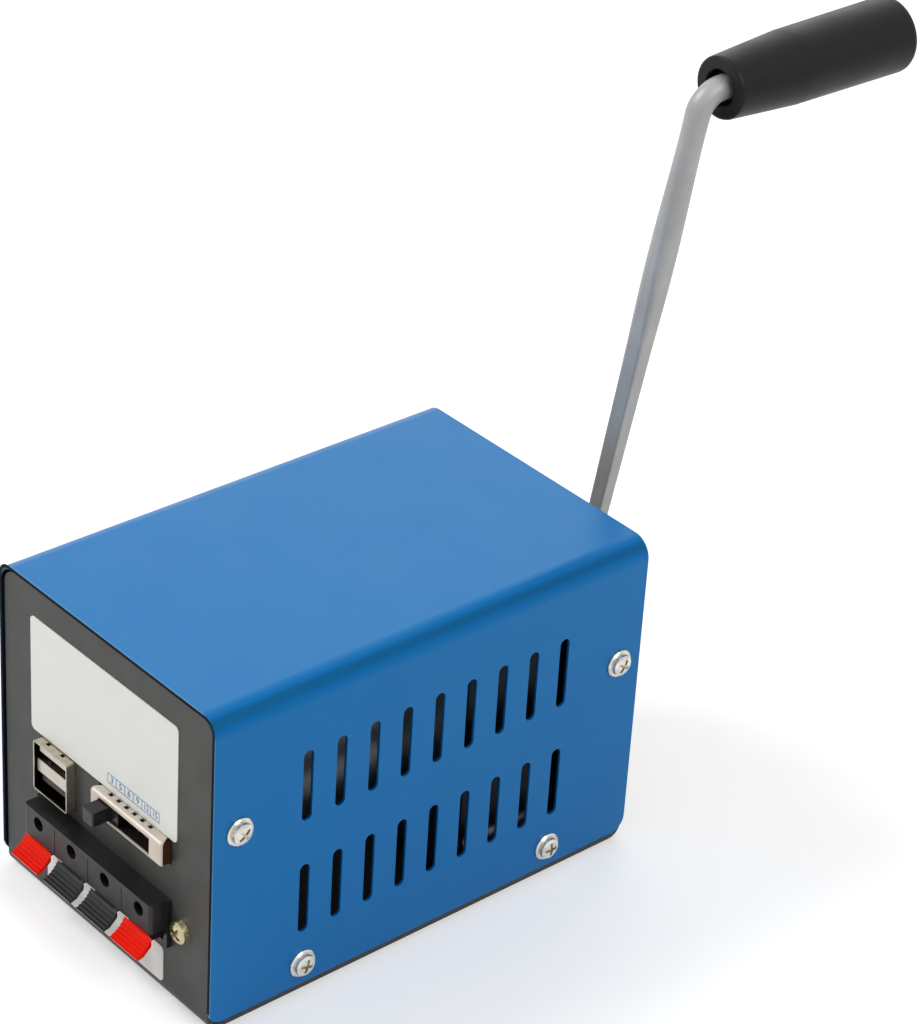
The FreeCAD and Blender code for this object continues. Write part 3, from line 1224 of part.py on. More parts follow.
NODES = {
    "chassis": chassis, "cover": cover, "cover_screws": cover_screws, "upper_label": upper_label,
    "lower_label": lower_label, "usb_shell": usb_shell, "usb_tongues": usb_tongues,
    "usb_contacts": usb_contacts, "selector_frame": selector_frame, "selector_base": selector_base,
    "selector_contacts": selector_contacts, "selector_knob": selector_knob,
    "terminal_body": terminal_body, "terminal_clips": terminal_clips,
    "terminal_bracket": terminal_bracket, "terminal_screws": terminal_screws,
    "terminal_nuts": terminal_nuts, "circuit_board": circuit_board, "board_brackets": board_brackets,
    "board_screws": board_screws, "capacitors": capacitors, "inductor": inductor,
    "regulator": regulator, "heat_sink": heat_sink, "generator_can": generator_can,
    "generator_bearing": generator_bearing, "end_bell": end_bell, "brushes": brushes,
    "magnets": magnets, "rotor_shaft": rotor_shaft, "rotor_core": rotor_core,
    "rotor_windings": rotor_windings, "commutator": commutator, "rotor_pinion": rotor_pinion,
    "gearbox_front_plate": gearbox_front_plate, "gearbox_mid_plate": gearbox_mid_plate,
    "gearbox_rear_plate": gearbox_rear_plate, "gearbox_standoffs": gearbox_standoffs,
    "gearbox_screws": gearbox_screws, "gearbox_shroud": gearbox_shroud, "shaft_bushes": shaft_bushes,
    "first_pinion": first_pinion, "first_gear": first_gear, "second_pinion": second_pinion,
    "second_gear": second_gear, "crank_shaft": crank_shaft, "crank_gear": crank_gear,
    "crank_hub": crank_hub, "crank_nut": crank_nut, "crank_arm": crank_arm, "grip": grip,
    "grip_washer": grip_washer, "grip_cap": grip_cap, "red_lead": red_lead, "black_lead": black_lead,
}


def main():
    """Write every piece as its own file."""
    os.makedirs("parts", exist_ok=True)
    shapes = {name: make() for name, make in NODES.items()}
    for i, x in enumerate(cells()):
        shapes["lever_%d" % (i + 1)] = lever(x)
    for name, shape in sorted(shapes.items()):
        if not shape.isValid() or not shape.Solids:
            raise ValueError("%s is not a valid solid" % name)
        shape.exportStep("parts/%s.step" % name)
        print("%-20s %d solid(s) %.1f mm3" % (name, len(shape.Solids), shape.Volume))


main()
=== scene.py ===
"""Looks of the hand crank generator.

Gives the solid pieces their finishes and adds a painted shade line on the cover's front edge, the printed
scale and the studio.
"""
from __future__ import annotations

import logging
import math
from dataclasses import dataclass, field
from enum import Enum
from typing import Dict, List, Sequence, Tuple, Union

import bmesh
import bpy
from mathutils import Matrix, Vector


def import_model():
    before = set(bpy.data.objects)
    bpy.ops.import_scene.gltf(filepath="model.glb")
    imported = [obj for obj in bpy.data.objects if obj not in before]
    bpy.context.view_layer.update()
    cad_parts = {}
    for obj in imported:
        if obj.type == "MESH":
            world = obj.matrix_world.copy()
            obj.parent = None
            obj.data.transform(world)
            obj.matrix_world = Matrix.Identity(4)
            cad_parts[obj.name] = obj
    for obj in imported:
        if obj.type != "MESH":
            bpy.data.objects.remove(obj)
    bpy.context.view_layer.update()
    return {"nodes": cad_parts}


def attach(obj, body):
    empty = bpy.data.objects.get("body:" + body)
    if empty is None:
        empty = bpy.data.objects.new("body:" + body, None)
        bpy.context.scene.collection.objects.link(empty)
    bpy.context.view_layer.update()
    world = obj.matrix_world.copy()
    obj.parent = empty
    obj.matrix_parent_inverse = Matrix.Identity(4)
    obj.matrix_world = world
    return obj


MM = 0.001
LOG = logging.getLogger("hand_crank_generator")
Colour = Tuple[int, int, int]
Point = Tuple[float, float, float]
Reach = Tuple[float, float]
WHITE = (1.0, 1.0, 1.0, 1.0)

# Noise values between which the tone and the gloss wander, and the octaves of each pattern
TONE_REACH: Reach = (0.35, 0.65)
GLOSS_REACH: Reach = (0.3, 0.7)
TONE_DETAIL = 3.0
GLOSS_DETAIL = 4.0

# Size of the gloss patches beside the grain of brushed metal, and beside the tone patches of the rest
GLOSS_PER_GRAIN = 2.5
GLOSS_PER_TONE = 0.4

# Height of the relief as a share of its grain, and how far brushing draws its lines out
RELIEF_HEIGHT = 0.25
DRAWN_OUT = 0.04
EVEN = (1.0, 1.0, 1.0)


class Relief(Enum):
    """Small relief of a surface."""

    NONE = "none"
    ORANGE_PEEL = "orange_peel"
    MOULDED = "moulded"
    BRUSHED = "brushed"
    CAST = "cast"


RELIEF_DETAIL = {Relief.ORANGE_PEEL: 1.0, Relief.MOULDED: 3.0, Relief.BRUSHED: 5.0, Relief.CAST: 6.0}


class Along(Enum):
    """Axis that brushed or drawn lines follow, as the pattern's scale along X, Y and Z."""

    X = (DRAWN_OUT, 1.0, 1.0)
    Y = (1.0, DRAWN_OUT, 1.0)
    Z = (1.0, 1.0, DRAWN_OUT)


@dataclass(frozen=True)
class CoverSheet:
    """Where the solid model's cover stands, in millimetres.

    Attributes:
        half_width: Half of the cover's width.
        top: Top of the cover above the floor.
        front: Front edge of the cover along Y.
        radius: Outer radius of the bends.
        sheet: Thickness of the sheet.
    """

    half_width: float = 40.0
    top: float = 84.0
    front: float = -62.5
    radius: float = 3.7
    sheet: float = 0.8

    @property
    def bend_x(self) -> float:
        """Middle of the bends across.

        Returns:
            The distance from the middle of the case.
        """
        return self.half_width - self.radius

    @property
    def bend_z(self) -> float:
        """Middle of the bends above the floor.

        Returns:
            The height.
        """
        return self.top - self.radius


COVER = CoverSheet()


def linear(colour: Colour) -> Tuple[float, float, float, float]:
    """Linear colour of an 8-bit display colour.

    Args:
        colour: Red, green and blue from 0 to 255.

    Returns:
        Linear red, green, blue and an alpha of 1.
    """
    values = []
    for channel in colour:
        c = channel / 255.0
        values.append(c / 12.92 if c <= 0.04045 else ((c + 0.055) / 1.055) ** 2.4)
    return (values[0], values[1], values[2], 1.0)


def maths(tree: bpy.types.NodeTree, operation: str,
          *values: Union[bpy.types.NodeSocket, float]) -> bpy.types.NodeSocket:
    """Adds one sum.

    Args:
        tree: Node tree of the material or the world.
        operation: Name of the sum.
        values: Sockets or numbers that go in.

    Returns:
        The result's socket.
    """
    node = tree.nodes.new("ShaderNodeMath")
    node.operation = operation
    for holder, value in zip(node.inputs, values):
        if isinstance(value, bpy.types.NodeSocket):
            tree.links.new(value, holder)
        else:
            holder.default_value = value
    return node.outputs["Value"]


def ramp(tree: bpy.types.NodeTree, value: bpy.types.NodeSocket, start: Reach,
         result: Reach = (0.0, 1.0)) -> bpy.types.NodeSocket:
    """Turns one range of values into another, held at both ends.

    Args:
        tree: Node tree of the material.
        value: Socket of the value.
        start: Values at which the ramp begins and ends.
        result: What it gives there.

    Returns:
        The result's socket.
    """
    node = tree.nodes.new("ShaderNodeMapRange")
    node.inputs["From Min"].default_value, node.inputs["From Max"].default_value = start
    node.inputs["To Min"].default_value, node.inputs["To Max"].default_value = result
    tree.links.new(value, node.inputs["Value"])
    return node.outputs["Result"]


def step(tree: bpy.types.NodeTree, value: bpy.types.NodeSocket, start: float,
         end: float) -> bpy.types.NodeSocket:
    """Adds a mask that runs from 0 to 1 along one measure.

    Args:
        tree: Node tree of the material.
        value: Socket of the measure.
        start: Where the mask is 0, in millimetres.
        end: Where the mask is 1, in millimetres.

    Returns:
        The mask's socket.
    """
    return ramp(tree, value, (start * MM, end * MM))


def mixed(tree: bpy.types.NodeTree, mask: bpy.types.NodeSocket,
          below: Union[bpy.types.NodeSocket, Colour], above: Colour) -> bpy.types.NodeSocket:
    """Lays a colour over another one where the mask is 1.

    Args:
        tree: Node tree of the material.
        mask: Socket of the mask.
        below: Socket or display colour below.
        above: Display colour above.

    Returns:
        The colour's socket.
    """
    blend = tree.nodes.new("ShaderNodeMix")
    blend.data_type = "RGBA"
    blend.inputs["B"].default_value = linear(above)
    tree.links.new(mask, blend.inputs["Factor"])
    if isinstance(below, bpy.types.NodeSocket):
        tree.links.new(below, blend.inputs["A"])
    else:
        blend.inputs["A"].default_value = linear(below)
    return blend.outputs["Result"]


def position(tree: bpy.types.NodeTree) -> bpy.types.NodeOutputs:
    """Adds the place of a point in the piece's own frame.

    Args:
        tree: Node tree of the material.

    Returns:
        The sockets X, Y and Z.
    """
    place = tree.nodes.new("ShaderNodeTexCoord")
    parts = tree.nodes.new("ShaderNodeSeparateXYZ")
    tree.links.new(place.outputs["Object"], parts.inputs["Vector"])
    return parts.outputs


def noise(tree: bpy.types.NodeTree, size: float, detail: float,
          stretch: Sequence[float] = EVEN) -> bpy.types.NodeSocket:
    """Adds a noise pattern on Object coordinates.

    Args:
        tree: Node tree of the material.
        size: Size of one blotch in millimetres.
        detail: Octaves of the noise.
        stretch: Scale along each axis, under 1 to draw the pattern out.

    Returns:
        The pattern's socket.
    """
    place = tree.nodes.new("ShaderNodeTexCoord")
    mapping = tree.nodes.new("ShaderNodeMapping")
    mapping.inputs["Scale"].default_value = stretch
    pattern = tree.nodes.new("ShaderNodeTexNoise")
    pattern.inputs["Scale"].default_value = 1.0 / (size * MM)
    pattern.inputs["Detail"].default_value = detail
    tree.links.new(place.outputs["Object"], mapping.inputs["Vector"])
    tree.links.new(mapping.outputs["Vector"], pattern.inputs["Vector"])
    return pattern.outputs["Fac"]


def seen_rays(tree: bpy.types.NodeTree) -> bpy.types.NodeSocket:
    """Adds a mask that is 1 for camera, glossy and transmission rays.

    Args:
        tree: Node tree of the material or the world.

    Returns:
        The mask's socket.
    """
    path = tree.nodes.new("ShaderNodeLightPath")
    mask = path.outputs["Is Camera Ray"]
    for ray in ("Is Glossy Ray", "Is Transmission Ray"):
        mask = maths(tree, "MAXIMUM", mask, path.outputs[ray])
    return mask


@dataclass(frozen=True)
class Finish:
    """A surface finish made of a few measured looks.

    Attributes:
        name: Name of the material.
        colour: Main display colour.
        second: Colour that the broad tone wanders towards.
        tone: How far the broad tone wanders, 0 to 1.
        tone_size: Size of the wandering patches in millimetres.
        metallic: 1 for bare metal.
        roughness: Middle roughness.
        spread: How far the roughness wanders either side.
        relief: Kind of small relief.
        grain: Size of the relief in millimetres.
        depth: Strength of the relief.
        along: Axis of brushed lines.
        coat: Weight of a clear coat.
        coat_roughness: Roughness of the clear coat.
        specular: Specular level.
        tint: Display colour of the gloss seen straight on.
    """

    name: str
    colour: Colour
    second: Colour
    tone: float = 0.35
    tone_size: float = 22.0
    metallic: float = 0.0
    roughness: float = 0.5
    spread: float = 0.05
    relief: Relief = Relief.NONE
    grain: float = 0.4
    depth: float = 0.1
    along: Along = Along.Z
    coat: float = 0.0
    coat_roughness: float = 0.2
    specular: float = 0.5
    tint: Colour = (255, 255, 255)

    def material(self) -> bpy.types.Material:
        """Builds the material once and returns it afterwards.

        Returns:
            The node material of this finish.
        """
        title = self.name + "_finish"
        found = bpy.data.materials.get(title)
        if found is not None:
            return found
        made = bpy.data.materials.new(title)
        made.use_nodes = True
        made.diffuse_color = linear(self.colour)
        tree = made.node_tree
        tree.nodes.clear()
        shader = tree.nodes.new("ShaderNodeBsdfPrincipled")
        output = tree.nodes.new("ShaderNodeOutputMaterial")
        tree.links.new(shader.outputs["BSDF"], output.inputs["Surface"])
        shader.inputs["Metallic"].default_value = self.metallic
        shader.inputs["Coat Weight"].default_value = self.coat
        shader.inputs["Coat Roughness"].default_value = self.coat_roughness
        shader.inputs["Specular IOR Level"].default_value = self.specular
        shader.inputs["Specular Tint"].default_value = linear(self.tint)
        tree.links.new(self.place_nodes(tree, self.tone_nodes(tree)), shader.inputs["Base Color"])
        tree.links.new(self.gloss_nodes(tree), shader.inputs["Roughness"])
        if self.relief is not Relief.NONE:
            tree.links.new(self.relief_nodes(tree), shader.inputs["Normal"])
        return made

    def tone_nodes(self, tree: bpy.types.NodeTree) -> bpy.types.NodeSocket:
        """Adds the broad wandering of the colour.

        Args:
            tree: Node tree of the material.

        Returns:
            The colour's socket.
        """
        pattern = noise(tree, self.tone_size, TONE_DETAIL)
        return mixed(tree, ramp(tree, pattern, TONE_REACH, (0.0, self.tone)), self.colour, self.second)

    def place_nodes(self, tree: bpy.types.NodeTree, colour: bpy.types.NodeSocket) -> bpy.types.NodeSocket:
        """Leaves the colour as it is; finishes that change with the place add to it.

        Args:
            tree: Node tree of the material.
            colour: Socket of the wandering colour.

        Returns:
            The colour's socket.
        """
        return colour

    def gloss_nodes(self, tree: bpy.types.NodeTree) -> bpy.types.NodeSocket:
        """Adds the wandering of the roughness.

        Args:
            tree: Node tree of the material.

        Returns:
            The roughness's socket.
        """
        brushed = self.relief is Relief.BRUSHED
        size = self.grain * GLOSS_PER_GRAIN if brushed else self.tone_size * GLOSS_PER_TONE
        pattern = noise(tree, size, GLOSS_DETAIL, self.along.value if brushed else EVEN)
        return ramp(tree, pattern, GLOSS_REACH, (self.roughness - self.spread, self.roughness + self.spread))

    def relief_nodes(self, tree: bpy.types.NodeTree) -> bpy.types.NodeSocket:
        """Adds the small relief.

        Args:
            tree: Node tree of the material.

        Returns:
            The normal's socket.
        """
        stretch = self.along.value if self.relief is Relief.BRUSHED else EVEN
        bump = tree.nodes.new("ShaderNodeBump")
        bump.inputs["Strength"].default_value = self.depth
        bump.inputs["Distance"].default_value = self.grain * MM * RELIEF_HEIGHT
        pattern = noise(tree, self.grain, RELIEF_DETAIL[self.relief], stretch)
        tree.links.new(pattern, bump.inputs["Height"])
        return bump.outputs["Normal"]


@dataclass(frozen=True)
class EdgedPaint(Finish):
    """Powder coat of the cover, with painted shade inside and a painted highlight line along the front
    corner.

    Attributes:
        shade_inside_colour: Display colour of the painted shade inside.
        highlight_colour: Display colour of the painted highlight line.
        highlight_width: Width of the painted highlight line in millimetres.
        skin: How far under the outer face the painted highlight line starts and is full, in millimetres.
    """

    shade_inside_colour: Colour = (10, 22, 40)
    highlight_colour: Colour = (84, 138, 186)
    highlight_width: float = 0.3
    skin: Reach = (0.15, 0.05)

    def place_nodes(self, tree: bpy.types.NodeTree, colour: bpy.types.NodeSocket) -> bpy.types.NodeSocket:
        """Adds the painted shade inside and the painted highlight line.

        Args:
            tree: Node tree of the material.
            colour: Socket of the paint's colour.

        Returns:
            The colour's socket with both mixed in.
        """
        place = position(tree)
        across = maths(tree, "SUBTRACT", maths(tree, "ABSOLUTE", place["X"]), COVER.bend_x * MM)
        above = maths(tree, "SUBTRACT", place["Z"], COVER.bend_z * MM)
        squares = [maths(tree, "POWER", maths(tree, "MAXIMUM", way, 0.0), 2.0) for way in (across, above)]
        out = maths(tree, "SQRT", maths(tree, "ADD", *squares))
        outer = step(tree, out, COVER.radius - self.skin[0], COVER.radius - self.skin[1])
        # Painted highlight: a pale line on the outer face along the front edge, for the light on the rounded
        # edge.
        near = step(tree, place["Y"], COVER.front + self.highlight_width, COVER.front + self.highlight_width / 2)
        highlight = mixed(tree, maths(tree, "MULTIPLY", near, outer), colour, self.highlight_colour)
        # Painted shade: the inner faces of the sheet are darkened.
        shade_inside = step(tree, out, COVER.radius - COVER.sheet / 2, COVER.radius - COVER.sheet)
        return mixed(tree, shade_inside, highlight, self.shade_inside_colour)


@dataclass(frozen=True)
class ShadedInside(Finish):
    """A finish that is dark inside a box, such as the hollow of a socket.

    Attributes:
        dark: Display colour inside the box.
        low: Lowest corner of the box in millimetres.
        high: Highest corner of the box in millimetres.
        fade: Width of the box's soft edge in millimetres.
    """

    dark: Colour = (14, 12, 10)
    low: Point = (-1.0, -1.0, -1.0)
    high: Point = (1.0, 1.0, 1.0)
    fade: float = 0.08

    def place_nodes(self, tree: bpy.types.NodeTree, colour: bpy.types.NodeSocket) -> bpy.types.NodeSocket:
        """Adds the dark inside.

        Args:
            tree: Node tree of the material.
            colour: Socket of the colour outside the box.

        Returns:
            The colour's socket with the dark inside mixed in.
        """
        place = position(tree)
        masks = []
        for axis, low, high in zip("XYZ", self.low, self.high):
            masks.append(step(tree, place[axis], low, low + self.fade))
            masks.append(step(tree, place[axis], high, high - self.fade))
        inside = masks[0]
        for mask in masks[1:]:
            inside = maths(tree, "MULTIPLY", inside, mask)
        return mixed(tree, inside, colour, self.dark)


BLUE_COAT = EdgedPaint("blue_powder_coat", (8, 103, 178), (12, 107, 181), tone=0.5, roughness=0.34,
                       spread=0.04, relief=Relief.ORANGE_PEEL, grain=0.9, depth=0.06, specular=0.42,
                       tint=(96, 255, 255))
PANEL_COAT = Finish("panel_powder_coat", (63, 63, 61), (56, 55, 54), tone=0.5, tone_size=18.0,
                    roughness=0.5, relief=Relief.ORANGE_PEEL, grain=0.5, depth=0.12, specular=0.35)
# Black paint of the gearbox shroud, which also stands in as painted shade seen through the cover's slots.
BLACK_PAINT_AND_SHADE = Finish("black_paint_and_shade", (22, 22, 23), (30, 29, 28), roughness=0.5, relief=Relief.ORANGE_PEEL)
LABEL_FILM = Finish("label_film", (240, 241, 236), (236, 237, 232), tone=0.6, tone_size=14.0,
                    roughness=0.42, spread=0.05, relief=Relief.ORANGE_PEEL, grain=1.6, depth=0.04)
SCALE_INK = Finish("scale_ink", (52, 120, 180), (70, 132, 186), tone=0.4, tone_size=1.0, roughness=0.5)
# The ShadedInside finishes below carry painted shade in hollows and on parts behind the front faces.
NICKEL_SHELL = ShadedInside("nickel_shell", (214, 204, 192), (196, 186, 172), tone=0.6, tone_size=3.0,
                            metallic=0.4, roughness=0.5, spread=0.08, relief=Relief.BRUSHED, grain=0.12,
                            depth=0.06, along=Along.X, low=(-1.6, -64.42, 38.3), high=(24.3, -50.0, 44.3))
SOCKET_SHELL = ShadedInside("socket_shell", (196, 188, 172), (168, 160, 146), tone=0.7, tone_size=2.0,
                            metallic=0.9, roughness=0.36, spread=0.08, relief=Relief.BRUSHED, grain=0.15,
                            depth=0.05, along=Along.Y, low=(-24.3, -64.38, 31.25), high=(-11.5, -50.0, 44.35))
NICKEL_SCREW = Finish("nickel_screw", (222, 219, 210), (196, 190, 176), tone=0.7, tone_size=1.6,
                      metallic=1.0, roughness=0.24, spread=0.1, relief=Relief.CAST, grain=0.5, depth=0.12)
YELLOW_SCREW = Finish("yellow_screw", (200, 192, 158), (166, 152, 112), tone=0.7, tone_size=1.4,
                      metallic=1.0, roughness=0.28, spread=0.1, relief=Relief.CAST, grain=0.5, depth=0.12)
SOCKET_PLASTIC = ShadedInside("socket_plastic", (226, 219, 206), (214, 205, 190), tone=0.5, tone_size=3.0,
                              roughness=0.45, relief=Relief.MOULDED, grain=0.3, depth=0.06,
                              dark=(46, 38, 30), low=(-30.0, -63.38, 20.0), high=(0.0, 0.0, 60.0))
CONTACT_METAL = Finish("contact_metal", (196, 160, 92), (170, 134, 76), tone=0.6, tone_size=1.2,
                       metallic=1.0, roughness=0.3, spread=0.08, relief=Relief.BRUSHED, grain=0.08,
                       depth=0.15, along=Along.Y)
LAMINATE = ShadedInside("brown_laminate", (74, 38, 18), (50, 25, 12), tone=0.8, tone_size=2.0, roughness=0.55,
                   spread=0.1, relief=Relief.BRUSHED, grain=0.25, depth=0.15, along=Along.X, specular=0.2,
                   low=(-5.0, -70.0, 30.0), high=(24.3, 0.0, 50.0))
# Near-black painted shade for the line round the panel at the cover's front edge.
EDGE_SHADE = Finish("edge_shade", (5, 12, 26), (3, 8, 18), tone_size=6.0, roughness=0.7, specular=0.1)
KNOB_PLASTIC = Finish("knob_plastic", (22, 22, 23), (17, 17, 18), roughness=0.42, tone_size=3.0,
                      relief=Relief.MOULDED, grain=0.25, depth=0.1, specular=0.4)
BLOCK_PLASTIC = Finish("block_plastic", (22, 22, 23), (28, 28, 29), roughness=0.42, spread=0.06,
                       tone_size=8.0, relief=Relief.MOULDED, grain=0.35, depth=0.1, specular=0.4)
LEVER_RED = ShadedInside("lever_red", (244, 26, 6), (230, 20, 4), tone=0.5, tone_size=4.0, roughness=0.36,
                         spread=0.05, relief=Relief.MOULDED, grain=0.3, depth=0.06, specular=0.3,
                         tint=(255, 150, 120), dark=(24, 22, 22), low=(-30.0, -66.9, 5.0),
                         high=(30.0, 0.0, 40.0))
LEVER_BLACK = Finish("lever_black", (22, 23, 24), (17, 18, 19), tone=0.5, tone_size=4.0, roughness=0.34,
                     spread=0.05, relief=Relief.MOULDED, grain=0.3, depth=0.06, specular=0.4)
ZINC_SHEET = Finish("zinc_sheet", (170, 172, 174), (150, 152, 156), tone=0.7, tone_size=5.0,
                    metallic=1.0, roughness=0.38, spread=0.08, relief=Relief.CAST, grain=0.8, depth=0.1)
CAN_STEEL = Finish("can_steel", (168, 168, 168), (150, 150, 152), tone=0.6, tone_size=9.0, metallic=1.0,
                   roughness=0.36, spread=0.06, relief=Relief.BRUSHED, grain=0.2, depth=0.12, along=Along.Y)
GEAR_STEEL = Finish("gear_steel", (160, 162, 166), (140, 142, 146), tone=0.6, tone_size=4.0,
                    metallic=1.0, roughness=0.3, spread=0.08, relief=Relief.BRUSHED, grain=0.15,
                    depth=0.12, along=Along.X)
GEAR_PLASTIC = Finish("gear_plastic", (224, 220, 204), (212, 206, 188), tone=0.5, roughness=0.45,
                      relief=Relief.MOULDED, grain=0.4, depth=0.06)
BRONZE = Finish("sintered_bronze", (178, 138, 84), (150, 112, 66), tone=0.8, tone_size=1.5, metallic=1.0,
                roughness=0.45, spread=0.1, relief=Relief.CAST, grain=0.3, depth=0.2)
COPPER = Finish("winding_copper", (176, 96, 52), (150, 74, 38), tone=0.7, tone_size=1.5, metallic=1.0,
                roughness=0.3, spread=0.08, relief=Relief.BRUSHED, grain=0.35, depth=0.6, along=Along.Y)
LAMINATIONS = Finish("core_laminations", (120, 120, 124), (92, 92, 96), tone=0.8, tone_size=2.0,
                     metallic=1.0, roughness=0.42, spread=0.1, relief=Relief.BRUSHED, grain=0.5,
                     depth=0.4, along=Along.X)
MAGNET = Finish("magnet_ferrite", (44, 44, 47), (58, 57, 58), tone=0.7, roughness=0.6,
                relief=Relief.CAST, grain=0.5, depth=0.2)
CARBON = Finish("brush_carbon", (36, 36, 38), (48, 48, 50), tone=0.6, tone_size=2.0, roughness=0.5,
                relief=Relief.CAST, grain=0.3, depth=0.2)
BOARD = Finish("board_mask", (22, 84, 48), (34, 104, 60), tone=0.8, tone_size=3.0, roughness=0.3,
               relief=Relief.ORANGE_PEEL, grain=0.8, depth=0.15, coat=0.3)
COMPONENT = Finish("component_black", (26, 26, 28), (36, 36, 38), roughness=0.5, tone_size=3.0,
                   relief=Relief.MOULDED, grain=0.3, depth=0.15)
ALUMINIUM = Finish("drawn_aluminium", (186, 188, 190), (168, 170, 174), tone=0.6, tone_size=5.0,
                   metallic=1.0, roughness=0.35, spread=0.08, relief=Relief.BRUSHED, grain=0.2,
                   depth=0.2, along=Along.Y)
ARM_STEEL = Finish("arm_steel", (178, 178, 177), (162, 162, 161), tone=0.6, tone_size=8.0, metallic=0.2,
                   roughness=0.44, spread=0.06, relief=Relief.BRUSHED, grain=0.3, depth=0.1,
                   along=Along.Z)
GRIP_PLASTIC = Finish("grip_plastic", (14, 14, 14), (19, 19, 19), tone=0.5, roughness=0.42, spread=0.05,
                      relief=Relief.MOULDED, grain=0.5, depth=0.08, specular=0.2)
RED_WIRE = Finish("red_wire", (190, 24, 20), (170, 18, 16), roughness=0.35, tone_size=4.0,
                  relief=Relief.ORANGE_PEEL)
BLACK_WIRE = Finish("black_wire", (26, 26, 27), (34, 34, 35), roughness=0.35, tone_size=4.0,
                    relief=Relief.ORANGE_PEEL)


def new_piece(name: str, shape: bmesh.types.BMesh, finish: Finish, body: str) -> None:
    """Turns a finished bmesh into a piece that rides on a body.

    Args:
        name: Name of the piece.
        shape: The geometry in metres, in the model's frame.
        finish: Finish of the whole piece.
        body: Body that carries it.
    """
    mesh = bpy.data.meshes.new(name)
    shape.to_mesh(mesh)
    shape.free()
    piece = bpy.data.objects.new(name, mesh)
    bpy.context.scene.collection.objects.link(piece)
    mesh.materials.append(finish.material())
    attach(piece, body)
    LOG.info("piece %s: %d faces on %s", name, len(mesh.polygons), body)


@dataclass
class SolidGroup:
    """Solid pieces of one sub-assembly and the finish of each.

    Attributes:
        title: Plain name of the sub-assembly.
        finishes: Finish by the name of the solid piece.
    """

    title: str
    finishes: Dict[str, Finish]

    def dress(self, nodes: Dict[str, bpy.types.Object]) -> List[str]:
        """Gives every solid piece its finish.

        Args:
            nodes: Objects of the model by name.

        Returns:
            Names of the pieces that were dressed.
        """
        for name, finish in self.finishes.items():
            solid = nodes[name]
            made = finish.material()
            if not solid.material_slots:
                solid.data.materials.append(made)
            for holder in solid.material_slots:
                holder.material = made
        LOG.info("%s: %d solid pieces dressed", self.title, len(self.finishes))
        return list(self.finishes)


@dataclass
class PrintedScale:
    """The ruled six-cell scale above the selector, with plain numbers.

    Attributes:
        left: Left end in millimetres.
        right: Right end in millimetres.
        low: Lower line in millimetres.
        high: Upper line in millimetres.
        face: Front face of the label in millimetres.
        ink: Thickness of the ink in millimetres.
        line: Width of a ruled line in millimetres.
        boldness: How far a number's outline grows, in millimetres.
        height: Size of a number as a share of the scale's height.
        narrow: Width of a number with two digits as a share of its plain width.
        numbers: Number of each cell, from the left.
    """

    left: float = 1.3
    right: float = 20.45
    low: float = 46.65
    high: float = 49.15
    face: float = -62.2
    ink: float = 0.03
    line: float = 0.18
    boldness: float = 0.015
    height: float = 0.95
    narrow: float = 0.82
    numbers: Tuple[str, ...] = ("3", "5", "6", "9", "12", "15")

    @property
    def cell(self) -> float:
        """Width of one cell.

        Returns:
            The width in millimetres.
        """
        return (self.right - self.left) / len(self.numbers)

    def bar(self, shape: bmesh.types.BMesh, x0: float, x1: float, z0: float, z1: float) -> None:
        """Adds one ruled bar.

        Args:
            shape: Geometry that gets the bar.
            x0: Left side in millimetres.
            x1: Right side in millimetres.
            z0: Lower side in millimetres.
            z1: Upper side in millimetres.
        """
        size = Vector((x1 - x0, self.ink, z1 - z0)) * MM
        middle = Vector(((x0 + x1) / 2, self.face - self.ink / 2, (z0 + z1) / 2)) * MM
        bmesh.ops.create_cube(shape, size=1.0, matrix=Matrix.LocRotScale(middle, None, size))

    def rules(self) -> bmesh.types.BMesh:
        """Builds the frame and the lines between the cells.

        Returns:
            The geometry of every ruled line.
        """
        shape = bmesh.new()
        half = self.line / 2
        self.bar(shape, self.left - half, self.right + half, self.low - half, self.low + half)
        self.bar(shape, self.left - half, self.right + half, self.high - half, self.high + half)
        for i in range(len(self.numbers) + 1):
            x = self.left + self.cell * i
            self.bar(shape, x - half, x + half, self.low + half, self.high - half)
        return shape

    def digits(self) -> bmesh.types.BMesh:
        """Builds the numbers.

        Returns:
            The geometry of every number, standing on the label.
        """
        shape = bmesh.new()
        for i, number in enumerate(self.numbers):
            curve = bpy.data.curves.new("number", "FONT")
            curve.body = number
            curve.size = (self.high - self.low) * self.height * MM
            curve.extrude = self.ink * MM / 2
            curve.offset = self.boldness * MM
            curve.align_x = "CENTER"
            curve.align_y = "CENTER"
            writer = bpy.data.objects.new("number", curve)
            bpy.context.scene.collection.objects.link(writer)
            bpy.context.view_layer.update()
            graph = bpy.context.evaluated_depsgraph_get()
            mesh = bpy.data.meshes.new_from_object(writer.evaluated_get(graph))
            place = Vector((self.left + self.cell * (i + 0.5), self.face - self.ink / 2,
                            (self.low + self.high) / 2))
            upright = Matrix.Translation(place * MM) @ Matrix.Rotation(math.pi / 2, 4, "X")
            width = self.narrow if len(number) > 1 else 1.0
            mesh.transform(upright @ Matrix.Diagonal((width, 1.0, 1.0, 1.0)))
            shape.from_mesh(mesh)
            bpy.data.objects.remove(writer)
            bpy.data.curves.remove(curve)
            bpy.data.meshes.remove(mesh)
        return shape

    def build(self) -> None:
        """Adds the rules and the numbers to the case's label."""
        new_piece("scale_rules", self.rules(), SCALE_INK, "case")
        new_piece("scale_numbers", self.digits(), SCALE_INK, "case")


